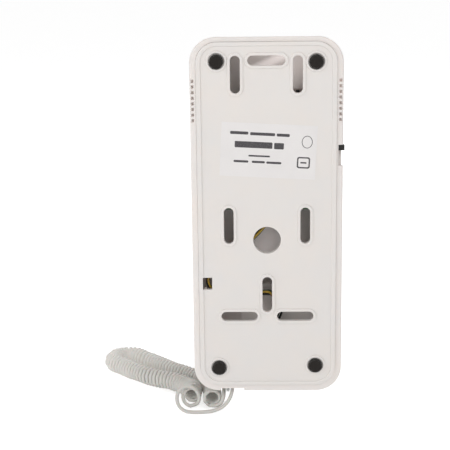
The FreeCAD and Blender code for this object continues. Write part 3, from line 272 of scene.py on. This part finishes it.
def metal(name, colour, rough, brushed=(1, 1, 60)):
    """Metal with streaks, finest along the axis with the largest brushed factor."""
    n = Shader(name)
    streak_space = n.mapping(scale=tuple(220.0 * factor for factor in brushed))
    streak = n.noise(scale=1.0, detail=6.0, rough=0.65, vector=streak_space)
    col = n.ramp(streak, [(0.3, scaled(colour, 0.8, 0.8, 0.8)), (0.75, colour)])
    tarnish = n.remap(n.noise(scale=300.0), over=(0.45, 0.75), to=(0.0, 0.35))
    col = n.mix(tarnish, col, scaled(colour, 0.55, 0.5, 0.42))
    n.set(Base_Color=col, Metallic=1.0,
          Roughness=n.remap(streak, over=(0.2, 0.8), to=(rough - 0.08, rough + 0.12)),
          Normal=n.bump(streak, strength=0.2, distance=0.00002, edge=0.00012))
    return n.mat


def foam(name):
    n = Shader(name)
    cells = n.voronoi(scale=2600.0)
    coarse = n.noise(scale=1500.0, detail=5.0, rough=0.7)
    height = n.math("ADD", n.math("MULTIPLY", cells, 0.8), coarse)
    col = n.ramp(coarse, [(0.3, srgb(27, 24, 21)), (0.6, srgb(41, 37, 34)),
                          (0.8, srgb(58, 53, 49))])
    n.set(Base_Color=col, Roughness=0.95, Sheen_Weight=0.25, Sheen_Roughness=0.5,
          Specular_IOR_Level=0.25,
          Normal=n.bump(height, strength=0.9, distance=0.00014, edge=0.00025))
    return n.mat


def board_laminate():
    """Circuit board: traces, solder dots and weave, with a pale band above z = 65 mm."""
    n = Shader("board_laminate")
    brick = n.node("ShaderNodeTexBrick")
    n.fill(brick, Vector=n.mapping(scale=(90.0,) * 3, rotation=(math.radians(90), 0, 0)),
           Scale=2.2, Mortar_Size=0.045,
           Color1=grey(0), Color2=grey(0.25), Mortar=grey(1))
    traces = brick.outputs["Color"]
    dot_cells = n.voronoi(scale=1.0, vector=n.mapping(scale=(230.0,) * 3))
    dots = n.ramp(dot_cells, [(0.0, grey(1)), (0.16, grey(1)), (0.19, grey(0))])
    col = n.mix(traces, srgb(24, 92, 52), srgb(40, 122, 70))
    col = n.mix(dots, col, srgb(190, 190, 182))
    band = n.remap(n.split(n.coord)[2], over=(0.0648, 0.0652), to=(0.0, 1.0))
    col = n.mix(band, col, srgb(156, 142, 138))
    weave = n.noise(scale=1800.0, detail=3.0)
    col = n.mix(n.remap(weave, over=(0.3, 0.7), to=(0.0, 0.15)), col, srgb(12, 50, 30))
    height = n.math("ADD", n.math("MULTIPLY", traces, 0.5), dots)
    n.set(Base_Color=col, Metallic=n.math("MULTIPLY", dots, 0.8),
          Roughness=n.remap(weave, over=(0.3, 0.7), to=(0.26, 0.4)),
          Normal=n.bump(height, strength=0.5, distance=0.00006, edge=0.0001))
    return n.mat


def cord_pvc():
    n = Shader("cord_pvc")
    col = n.ramp(n.noise(scale=55.0), [(0.3, srgb(205, 203, 198)), (0.7, srgb(212, 210, 205))])
    grime = n.noise(scale=240.0, detail=5.0, rough=0.65)
    col = n.mix(n.remap(grime, over=(0.55, 0.8), to=(0.0, 0.14)), col, srgb(182, 175, 166))
    # painted shade in the grooves between the turns
    col = n.paint_crevice_shade(col, distance=0.0012, low=0.18, high=0.72, strength=0.75,
                    tint=(0.74, 0.725, 0.70, 1))
    # painted light: the turns glow on their inner side, standing in for light that comes through
    # them, and the run far out on -Y glows to lighten it where the base shades it
    inner = n.node("ShaderNodeAttribute", attribute_name="inner_side").outputs["Fac"]
    painted_far_light = n.remap(n.split(n.coord)[1], over=(-0.040, -0.066), to=(0.0, 0.13))
    fine = n.noise(scale=3200.0, detail=3.0)
    n.set(Base_Color=col, Roughness=n.remap(grime, over=(0.3, 0.7), to=(0.36, 0.5)),
          Normal=n.bump(fine, strength=0.14, distance=0.00002),
          Emission_Color=(0.98, 0.96, 0.92, 1),
          Emission_Strength=n.math("ADD", n.math("MULTIPLY", inner, 0.06), painted_far_light),
          Subsurface_Weight=0.12, Subsurface_Scale=0.0008, IOR=1.52)
    return n.mat


def wire_pvc(name, colour):
    n = Shader(name)
    grime = n.noise(scale=700.0)
    fine = n.noise(scale=2500.0, detail=2.0)
    n.set(Base_Color=n.ramp(grime, [(0.3, scaled(colour, 0.62, 0.62, 0.62)), (0.65, colour)]),
          Roughness=n.remap(grime, over=(0.3, 0.7), to=(0.28, 0.42)),
          Normal=n.bump(fine, strength=0.2, distance=0.00002))
    return n.mat


def clear_polycarbonate():
    n = Shader("clear_polycarbonate")
    haze = n.noise(scale=500.0, detail=3.0)
    ripple = n.noise(scale=900.0, detail=3.0)
    n.set(Base_Color=n.ramp(haze, [(0.3, srgb(214, 216, 214)), (0.7, srgb(236, 237, 235))]),
          Transmission_Weight=0.72, IOR=1.58,
          Roughness=n.remap(haze, over=(0.3, 0.7), to=(0.10, 0.24)),
          Normal=n.bump(ripple, strength=0.12, distance=0.00003, edge=0.0002))
    return n.mat


def label_vinyl():
    n = Shader("label_vinyl")
    fibre = n.noise(scale=1500.0, detail=6.0, rough=0.7)
    broad = n.noise(scale=45.0, detail=3.0)
    col = n.ramp(broad, [(0.3, srgb(231, 228, 227)), (0.7, srgb(236, 233, 232))])
    col = n.mix(n.remap(fibre, over=(0.5, 0.75), to=(0.0, 0.12)), col, srgb(214, 209, 206))
    n.set(Base_Color=col, Roughness=n.remap(fibre, over=(0.3, 0.7), to=(0.42, 0.56)),
          Normal=n.bump(fibre, strength=0.12, distance=0.00002))
    return n.mat


def label_ink():
    n = Shader("label_ink")
    wear = n.noise(scale=1900.0, detail=5.0, rough=0.7)
    n.set(Base_Color=n.ramp(wear, [(0.35, srgb(60, 57, 60)), (0.6, srgb(86, 83, 86)),
                                   (0.78, srgb(150, 147, 148))]),
          Roughness=n.remap(wear, over=(0.3, 0.7), to=(0.45, 0.62)),
          Normal=n.bump(wear, strength=0.1, distance=0.00001))
    return n.mat


SHELL = dict(colour=srgb(236, 231, 228), rough=0.36, grain=3000.0, depth=0.000025,
             strength=0.22, soft=0.06, edge=0.0003, mottle=0.018, dust=0.35)
# by material slot, plus front_shell for the front cover, with painted light on its inside
MATERIALS = {
    "shell_plastic": plastic("shell_abs", **SHELL),
    "front_shell": plastic("front_shell_abs_painted_light", painted_light_strength=0.16, **SHELL),
    "cover_plastic": plastic(
        "cover_abs", srgb(232, 228, 225), rough=0.46, grain=2200.0, depth=0.00004,
        strength=0.32, soft=0.05, mottle=0.018, dust=0.5),
    "pad_rubber": foam("foam_rubber"),
    "label_paper": label_vinyl(),
    "board": board_laminate(),
    "steel": metal("plated_steel", srgb(200, 200, 198), rough=0.28),
    "spring_steel": metal("spring_wire", srgb(176, 178, 182), rough=0.25),
    "terminal_plastic": plastic(
        "terminal_nylon", srgb(38, 120, 74), rough=0.45, grain=1800.0, depth=0.00005,
        strength=0.3, mottle=0.06, dust=0.6),
    "black_plastic": plastic(
        "black_nylon", srgb(27, 26, 26), rough=0.42, grain=2400.0, depth=0.00004,
        strength=0.35, mottle=0.08, dust=0.8),
    "switch_metal": metal("stamped_can", srgb(206, 206, 200), rough=0.3, brushed=(60, 1, 1)),
    "capacitor_sleeve": plastic(
        "capacitor_sleeve", srgb(28, 34, 62), rough=0.3, grain=1500.0, depth=0.00004,
        strength=0.3, edge=0.0003, mottle=0.08, dust=0.7),
    "button_plastic": plastic(
        "button_abs", srgb(206, 206, 205), rough=0.3, grain=3000.0, depth=0.00002,
        strength=0.2, soft=0.04, edge=0.0003, mottle=0.02, dust=0.3),
    "wire_black": wire_pvc("wire_black_pvc", srgb(30, 38, 33)),
    "wire_yellow": wire_pvc("wire_yellow_pvc", srgb(196, 160, 48)),
    "wire_green": wire_pvc("wire_green_pvc", srgb(30, 86, 56)),
    "wire_red": wire_pvc("wire_red_pvc", srgb(165, 38, 30)),
    "clear_plastic": clear_polycarbonate(),
    "cord_jacket": cord_pvc(),
    "gasket_rubber": foam("gasket_foam"),
    "receiver_metal": metal("pressed_aluminium", srgb(190, 191, 193), rough=0.34,
                            brushed=(1, 1, 1)),
}
INK = label_ink()

for part in frame["record"]["subparts"]:
    slots = frame["nodes"][part["node"]].data.materials
    slots.clear()
    front = part["node"] == "front_cover"
    slots.append(MATERIALS["front_shell" if front else part["material_slot"]])


def mesh_object(name, verts, faces, material, body, smooth=True):
    """A mesh from points in mm, riding on body if one is given."""
    mesh = bpy.data.meshes.new(name)
    mesh.from_pydata((np.array(verts) * MM).tolist(), [], faces)
    mesh.update()
    mesh.validate()
    obj = bpy.data.objects.new(name, mesh)
    bpy.context.scene.collection.objects.link(obj)
    mesh.materials.append(material)
    if smooth:
        mesh.polygons.foreach_set("use_smooth", [True] * len(mesh.polygons))
    if body:
        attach(obj, body)
    return obj


# ------------------------------------------------------------ paths
def unit(vectors):
    return vectors / np.linalg.norm(vectors, axis=-1, keepdims=True)


def tangents(path):
    return unit(np.gradient(path, axis=0))


def resample(path, step):
    lengths = np.linalg.norm(np.diff(path, axis=0), axis=1)
    run = np.concatenate([[0], np.cumsum(lengths)])
    count = max(2, int(round(run[-1] / step)))
    stations = np.linspace(0, run[-1], count + 1)
    return np.stack([np.interp(stations, run, path[:, k]) for k in range(3)], 1)


def smooth_path(path, rounds):
    path = path.copy()
    for _ in range(rounds):
        path[1:-1] = path[1:-1] * 0.5 + (path[:-2] + path[2:]) * 0.25
    return path


def lerp_at(t, t_a, a, t_b, b):
    return (t_b - t) / (t_b - t_a) * a + (t - t_a) / (t_b - t_a) * b


def spline(points, per):
    """Centripetal Catmull-Rom through the points, per steps to a span."""
    p = np.asarray(points, float)
    p = np.vstack([2 * p[0] - p[1], p, 2 * p[-1] - p[-2]])
    out = []
    for i in range(1, len(p) - 2):
        a, b, c, d = p[i - 1:i + 3]
        knots = [0.0]
        for start, end in ((a, b), (b, c), (c, d)):
            knots.append(knots[-1] + max(np.linalg.norm(end - start), 1e-9) ** 0.5)
        t0, t1, t2, t3 = knots
        for k in range(per):
            t = t1 + (t2 - t1) * k / per
            ab = lerp_at(t, t0, a, t1, b)
            bc = lerp_at(t, t1, b, t2, c)
            cd = lerp_at(t, t2, c, t3, d)
            abc = lerp_at(t, t0, ab, t2, bc)
            bcd = lerp_at(t, t1, bc, t3, cd)
            out.append(lerp_at(t, t1, abc, t2, bcd))
    out.append(p[-2])
    return np.array(out)


def bell(x, centre, width, power=2):
    return np.exp(-((x - centre) / width) ** power)


def smoothstep(k):
    return k * k * (3 - 2 * k)


# ------------------------------------------------------------ cord
COIL_R = 5.55                   # outer radius of the coil
WIRE_HALF_WIDTH = 1.13          # along the coil
WIRE_HALF_THICK = 1.0           # across it
LEAD_HALF_THICK = 1.06          # the straight leads are rounder
PITCH = 2.42
CORD_SEGMENTS = 14
HELIX_EVERY = 3                 # centre line steps between helix stations
HELIX_OVERLAP = 3               # helix stations repeated at the start of the handset lead
# x, y of the coil's centre line on the table, from the base plug's end
# out to -Y and back
COIL_XY = [
    (43.7, -7.6), (42.9, -13.0), (42.8, -19.0), (46.2, -26.0), (51.4, -32.0), (57.6, -36.2),
    (64.0, -39.8), (70.0, -43.6), (77.0, -50.2), (84.0, -57.4), (90.2, -63.6), (93.8, -69.4),
    (92.9, -75.8), (88.0, -80.6), (81.8, -80.0), (75.2, -73.6), (67.4, -65.3), (59.4, -56.0),
    (51.4, -48.6), (43.4, -41.2), (36.6, -33.0), (32.6, -23.0), (31.4, -14.0), (31.4, -7.2)]
# x, y, z from the base plug: along the table on the +Y side of both coil ends,
# up the +X side and over into the first loose turn
BASE_LEAD = [
    (19.8, -8.4, -97.0), (19.9, -7.4, -100.4), (20.9, -6.4, -104.1), (23.2, -5.0, -107.6),
    (26.6, -3.8, -110.1), (31.0, -2.4, -111.3), (36.9, -1.3, -111.5), (42.4, -1.2, -111.5),
    (46.2, -1.5, -111.0), (49.3, -2.9, -109.4), (50.9, -4.5, -106.8), (51.1, -6.0, -104.0),
    (50.2, -7.3, -101.4), (47.9, -8.2, -99.6), (44.8, -8.7, -99.0), (41.6, -8.8, -100.3),
    (39.5, -8.7, -103.0), (38.8, -8.5, -106.0), (39.9, -8.1, -109.0)]
# x, y, z from the other end: round the -X side of the last turn, up, out to -Y
# and across to the socket in the end of the handset
HANDSET_LEAD = [
    (28.6, -6.4, -109.6), (26.0, -6.8, -107.6), (24.9, -8.2, -104.6), (24.7, -11.2, -101.9),
    (24.5, -17.0, -101.2), (23.0, -27.0, -101.2), (16.0, -37.0, -101.0), (4.0, -41.0, -100.2),
    (-5.6, -37.0, -98.6), (-9.9, -32.0, -96.0), (-10.0, -31.75, -91.9)]
# directions of the section's wide side: at the base plug, along the table, at the handset
PLUG_WIDE = np.array([0.35, -1.0, 0.15])
TABLE_WIDE = np.array([0.0, -1.0, 0.0])
SOCKET_WIDE = np.array([0.9, 0.25, 0.35])


def coil_turns(run):
    """Turns made at each length along the centre line."""
    step = 0.01
    turns = np.linspace(0.0, 200.0, 20001)
    # the first turn by the base plug is pulled loose, the rest lie nearly closed
    pitch = PITCH + 4.0 * bell(turns, centre=0.0, width=0.78, power=4)
    # slight unevenness, and a gap at the far bend
    pitch += 0.03 * np.sin(turns * 0.83) * np.sin(turns * 0.29 + 1.0)
    pitch += 0.8 * bell(turns, centre=45.5, width=2.2)
    lengths = np.concatenate([[0.0], np.cumsum((pitch[1:] + pitch[:-1]) * 0.5 * step)])
    turn = np.interp(run, lengths, turns)
    # end just past a whole turn, so that the last point is at the foot
    past = 0.02
    return turn * ((round(turn[-1] - past) + past) / turn[-1])


def coil_helix():
    """Stations of the wire, the coil's direction there, and the centre line."""
    centre = spline([(x, y, FLOOR_Z + COIL_R) for x, y in COIL_XY], per=30)
    centre = resample(smooth_path(resample(centre, step=0.5), rounds=30), step=0.1)
    along = tangents(centre)
    up = np.array([0.0, 0.0, 1.0])
    side = unit(np.cross(up, along))
    run = np.arange(len(centre)) * np.linalg.norm(centre[1] - centre[0])
    turn = coil_turns(run)
    phase = 2 * math.pi * turn + math.radians(-90)
    # radius: a slow and a quick waver, and unruly turns at the far bend
    radius = COIL_R - WIRE_HALF_THICK + 0.06 * np.sin(run * 0.11)
    radius += 0.04 * np.sin(run * 0.47 + 1.0)
    radius += 0.30 * bell(turn, centre=46.3, width=1.3) * np.sin(turn * 5.1)
    # the coil rises a little near its start
    lift = 1.5 * bell(run, centre=8.5, width=7.0) * np.clip(run / 6.0, 0.0, 1.0)
    # small shifts along the coil
    shift = 0.04 * np.sin(phase * 0.37 + 2.0) + 0.03 * np.sin(phase * 0.171)
    helix = (centre + side * (np.cos(phase) * radius)[:, None]
             + up * (np.sin(phase) * radius + lift)[:, None] + along * shift[:, None])
    return helix[::HELIX_EVERY], along[::HELIX_EVERY], centre[::HELIX_EVERY]


def sweep(path, wide, half_thick):
    """An oval section swept along the path, its wide side along wide."""
    seg = CORD_SEGMENTS
    along = tangents(path)
    wide = unit(wide - np.sum(wide * along, axis=1)[:, None] * along)
    thin = np.cross(along, wide)
    angle = 2 * math.pi * np.arange(seg) / seg
    verts = (path[:, None] + wide[:, None] * (np.cos(angle) * WIRE_HALF_WIDTH)[:, None]
             + thin[:, None] * (np.sin(angle) * half_thick[:, None])[:, :, None])
    faces = []
    for i in range(len(path) - 1):
        for k in range(seg):
            a, b = i * seg + k, i * seg + (k + 1) % seg
            faces.append((a, b, b + seg, a + seg))
    faces.append(tuple(range(seg))[::-1])
    faces.append(tuple((len(path) - 1) * seg + k for k in range(seg)))
    return verts.reshape(-1, 3), faces


def base_lead_wide(count, coil_wide):
    """The section turns level by 55% of the lead, then into the coil's direction."""
    level_at = 0.55
    out = []
    for i in range(count):
        k = i / count
        if k < level_at:
            k = smoothstep(k / level_at)
            out.append(unit(PLUG_WIDE * (1 - k) + TABLE_WIDE * k))
        else:
            k = (k - level_at) / (1 - level_at)
            out.append(unit(TABLE_WIDE * (1 - k) + coil_wide * k))
    return np.array(out)


def handset_lead_wide(count, coil_wide):
    """The section turns out of the coil's direction over 45% of the lead."""
    out = []
    for i in range(count):
        k = smoothstep(min(1.0, i / (0.45 * count)))
        out.append(unit(coil_wide * (1 - k) + SOCKET_WIDE * k))
    return np.array(out)


def build_cord():
    helix, along, centre = coil_helix()
    start = spline(BASE_LEAD + [tuple(helix[0])], per=16)[:-1]
    end = spline([tuple(helix[-1])] + HANDSET_LEAD, per=16)[1:]
    jacket = MATERIALS["cord_jacket"]

    path = np.vstack([start, helix])
    wide = np.vstack([base_lead_wide(len(start), along[0]), along])
    station = np.arange(len(path)) - len(start)
    thick = np.interp(station, [0, 220], [LEAD_HALF_THICK, WIRE_HALF_THICK])
    verts, faces = sweep(path, wide, thick)
    coil = mesh_object("coiled_cord_helix", verts, faces, jacket, "base")
    # how far each point of the coil faces its own axis; zero on the lead
    rings = verts.reshape(len(path), CORD_SEGMENTS, 3)[len(start):]
    outward = unit(rings - helix[:, None])
    toward = unit(centre - helix)
    facing = np.zeros((len(path), CORD_SEGMENTS), np.float32)
    facing[len(start):] = np.clip((outward * toward[:, None]).sum(axis=2), 0.0, 1.0)
    # this mask sets where the cord's inner sides get their painted light
    attribute = coil.data.attributes.new("inner_side", "FLOAT", "POINT")
    attribute.data.foreach_set("value", facing.reshape(-1))
    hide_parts("coiled_cord")

    path = np.vstack([helix[-HELIX_OVERLAP:], end])
    wide = np.vstack([along[-HELIX_OVERLAP:], handset_lead_wide(len(end), along[-1])])
    thick = np.interp(np.arange(len(path)), [0, 40], [WIRE_HALF_THICK, LEAD_HALF_THICK])
    verts, faces = sweep(path, wide, thick)
    lead = mesh_object("coiled_cord_handset_lead", verts, faces, jacket, None)
    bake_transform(lead)


build_cord()

# ------------------------------------------------------------ wall pads
PAD_R = 3.78
PAD_BOTTOM = -2.15              # y; the exposed face is at y = 0
PAD_EDGE = 0.45                 # rounding of the rim
PAD_EDGE_STEPS = 5
PAD_SEGMENTS = 72
PAD_X, PAD_Z = 26.6, 84.5       # nominal distances from the middle
# side in x, side in z, offset in x, offset in z
PADS = [(1, 1, -0.15, 0.7), (-1, 1, 0.2, 0.3), (1, -1, 0.3, -0.65), (-1, -1, 0.2, 0.6)]


def pad_profile():
    """(radius, y) from the middle of the exposed face round to the middle of the bottom."""
    profile = [(0.0, 0.0)] + [(PAD_R * share, 0.0) for share in np.linspace(0.25, 0.9, 6)]
    for k in range(PAD_EDGE_STEPS + 1):
        a = math.pi / 2 * k / PAD_EDGE_STEPS
        profile.append((PAD_R - PAD_EDGE + PAD_EDGE * math.sin(a),
                        -PAD_EDGE + PAD_EDGE * math.cos(a)))
    bulge = 0.03
    return profile + [(PAD_R + bulge, PAD_BOTTOM / 2), (PAD_R, PAD_BOTTOM), (0.0, PAD_BOTTOM)]


def add_pad(verts, faces, x, z):
    rings = []
    for radius, y in pad_profile():
        first = len(verts)
        if radius == 0.0:
            verts.append((x, y, z))
        else:
            for k in range(PAD_SEGMENTS):
                a = 2 * math.pi * k / PAD_SEGMENTS
                # the outline is slightly out of round, the face and rim slightly pitted
                wobble = 1 + 0.006 * math.sin(3 * a + x) + 0.004 * math.sin(7 * a + z)
                pit = 0.0
                if y > -PAD_EDGE * 1.01:
                    pit = 0.05 * abs(math.sin(2.3 * a * radius + z)) * rng.random()
                verts.append((x + radius * wobble * math.cos(a), y - pit,
                              z + radius * wobble * math.sin(a)))
        rings.append(range(first, len(verts)))
    for a, b in zip(rings[:-1], rings[1:]):
        for k in range(PAD_SEGMENTS):
            j = (k + 1) % PAD_SEGMENTS
            if len(a) == 1:
                faces.append((a[0], b[k], b[j]))
            elif len(b) == 1:
                faces.append((a[k], a[j], b[0]))
            else:
                faces.append((a[k], b[k], b[j], a[j]))


def build_pads():
    verts, faces = [], []
    for side_x, side_z, offset_x, offset_z in PADS:
        add_pad(verts, faces, side_x * PAD_X + offset_x, side_z * PAD_Z + offset_z)
    pads = mesh_object("wall_pads_foam", verts, faces, MATERIALS["pad_rubber"], "base")
    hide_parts("wall_pads")


build_pads()

# ------------------------------------------------------------ label print
# On the label u runs right as read from behind (towards -X), and v up.
LABEL_TILT = math.radians(3.1)
INK_PROUD = 0.012
INK_THICK = 0.02
# four lines of plain rounded bars in place of words, the second line heavy: u0, u1, v0, v1
WORDS = [(-20.9, -11.2, 8.3, 9.9), (-10.2, 3.1, 8.1, 9.7), (4.0, 10.9, 8.0, 9.6),
         (-18.2, 2.0, 1.2, 4.6), (2.9, 8.1, 1.1, 4.5),
         (-10.6, 1.0, -3.5, -2.6),
         (-18.4, -10.5, -6.9, -5.7), (-8.6, -1.6, -6.9, -5.7), (-0.8, 7.2, -7.0, -5.8)]


def word(u0, u1, v0, v1, cut=0.35):
    return [(u0 + cut, v0), (u1 - cut, v0), (u1, v0 + cut), (u1, v1 - cut),
            (u1 - cut, v1), (u0 + cut, v1), (u0, v1 - cut), (u0, v0 + cut)]


def ellipse(u, v, half_u, half_v, count=40):
    angles = [2 * math.pi * k / count for k in range(count)]
    return [(u + half_u * math.cos(a), v + half_v * math.sin(a)) for a in angles]


def rounded_square(u, v, half_u, half_v, corner, steps=8):
    out = []
    for side_u, side_v, start in ((1, -1, -90), (1, 1, 0), (-1, 1, 90), (-1, -1, 180)):
        for k in range(steps + 1):
            a = math.radians(start + 90 * k / steps)
            out.append((u + side_u * (half_u - corner) + corner * math.cos(a),
                        v + side_v * (half_v - corner) + corner * math.sin(a)))
    return out


def strip(outer, inner):
    """Quads that fill the closed strip between two matching outlines."""
    following = [(k + 1) % len(outer) for k in range(len(outer))]
    return [[outer[k], outer[j], inner[j], inner[k]] for k, j in enumerate(following)]


def build_label_print():
    low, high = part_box("rating_label")
    middle = (low + high) / 2 / MM
    ink_y = high.y / MM + INK_PROUD
    cos_tilt, sin_tilt = math.cos(LABEL_TILT), math.sin(LABEL_TILT)
    outlines = [word(*extent) for extent in WORDS]
    # two plain shapes at the right: a ring over a rounded square with a bar in it
    outlines += strip(ellipse(20.4, 5.7, half_u=2.9, half_v=3.4),
                      ellipse(20.4, 5.7, half_u=2.55, half_v=3.05))
    outlines += strip(rounded_square(19.0, -5.6, half_u=3.5, half_v=3.1, corner=1.2),
                      rounded_square(19.0, -5.6, half_u=2.75, half_v=2.35, corner=0.7))
    outlines.append([(17.4, -6.0), (20.6, -6.0), (20.6, -5.2), (17.4, -5.2)])
    verts, faces = [], []
    for outline in outlines:
        base, count = len(verts), len(outline)
        for y in (ink_y, ink_y - INK_THICK):
            verts += [(middle.x - u * cos_tilt - v * sin_tilt, y,
                       middle.z + v * cos_tilt - u * sin_tilt) for u, v in outline]
        faces.append(tuple(base + k for k in range(count)))
        faces.append(tuple(base + count + k for k in reversed(range(count))))
        for k in range(count):
            j = (k + 1) % count
            faces.append((base + k, base + count + k, base + count + j, base + j))
    mesh_object("label_print", verts, faces, INK, "base", smooth=False)


build_label_print()


# ------------------------------------------------------------ stage, lights, camera
def build_world():
    """A white surround, brighter to the camera than to the objects."""
    world = bpy.data.worlds.new("studio")
    bpy.context.scene.world = world
    world.use_nodes = True
    tree = world.node_tree
    background = tree.nodes["Background"]
    background.inputs["Color"].default_value = (1, 1, 1, 1)
    background.inputs["Strength"].default_value = 1.0
    rays = tree.nodes.new("ShaderNodeLightPath")
    level = tree.nodes.new("ShaderNodeMath")
    level.operation = "MULTIPLY_ADD"
    level.inputs[1].default_value = 0.72    # added for camera rays
    level.inputs[2].default_value = 0.40    # for all rays
    tree.links.new(rays.outputs["Is Camera Ray"], level.inputs[0])
    tree.links.new(level.outputs[0], background.inputs["Strength"])


def build_floor():
    n = Shader("studio_floor")
    broad = n.noise(scale=14.0, detail=3.0)
    fine = n.noise(scale=600.0, detail=2.0)
    rays = n.node("ShaderNodeLightPath").outputs["Is Camera Ray"]
    n.set(Base_Color=n.ramp(broad, [(0.3, grey(0.88)), (0.7, grey(0.90))]), Roughness=0.85,
          Normal=n.bump(fine, strength=0.02, distance=0.0001),
          Emission_Color=(1, 1, 1, 1),
          Emission_Strength=n.remap(rays, over=(0.0, 1.0), to=(0.18, 0.62)))
    grid = bmesh.new()
    bmesh.ops.create_grid(grid, x_segments=8, y_segments=8, size=6.0)
    mesh = bpy.data.meshes.new("floor")
    grid.to_mesh(mesh)
    grid.free()
    floor = bpy.data.objects.new("floor", mesh)
    clearance = 1.5
    floor.location = (0, 0, (FLOOR_Z - clearance) * MM)
    bpy.context.scene.collection.objects.link(floor)
    mesh.materials.append(n.mat)


def area(name, location, size, power, target=(0.0, -0.01, 0.0), colour=(1, 1, 1)):
    light = bpy.data.lights.new(name, "AREA")
    light.shape = "DISK"
    light.size = size
    light.energy = power
    light.color = colour
    obj = bpy.data.objects.new(name, light)
    obj.location = location
    aim = Vector(target) - Vector(location)
    obj.rotation_euler = aim.to_track_quat("-Z", "Y").to_euler()
    bpy.context.scene.collection.objects.link(obj)


def build_camera():
    lens = bpy.data.cameras.new("camera")
    lens.sensor_width = 36.0
    lens.lens = 105.74
    lens.clip_start = 0.01
    lens.clip_end = 20.0
    camera = bpy.data.objects.new("camera", lens)
    # columns: right, up, backwards, place
    camera.matrix_world = Matrix(((-0.99968501, -0.00611663, -0.02434063, 0.00533),
                                  (-0.02214365, -0.24151504, 0.97014439, 0.69353),
                                  (-0.01181264, 0.9703778, 0.24130352, 0.16953),
                                  (0, 0, 0, 1)))
    bpy.context.scene.collection.objects.link(camera)
    bpy.context.scene.camera = camera


build_world()
build_floor()
area("key", (-0.36, 0.85, 0.80), size=0.7, power=4.25, colour=(1.0, 0.985, 0.97))
area("fill", (0.8, 0.8, 0.25), size=0.9, power=2.4, colour=(0.98, 0.985, 0.99))
area("side", (0.95, 0.28, 0.42), size=0.6, power=1.5, target=(0.06, -0.03, -0.08),
     colour=(1.0, 0.995, 0.985))
area("front", (0.1, -0.9, 0.7), size=0.9, power=4.0)
build_camera()
bpy.context.scene.view_settings.view_transform = "Standard"
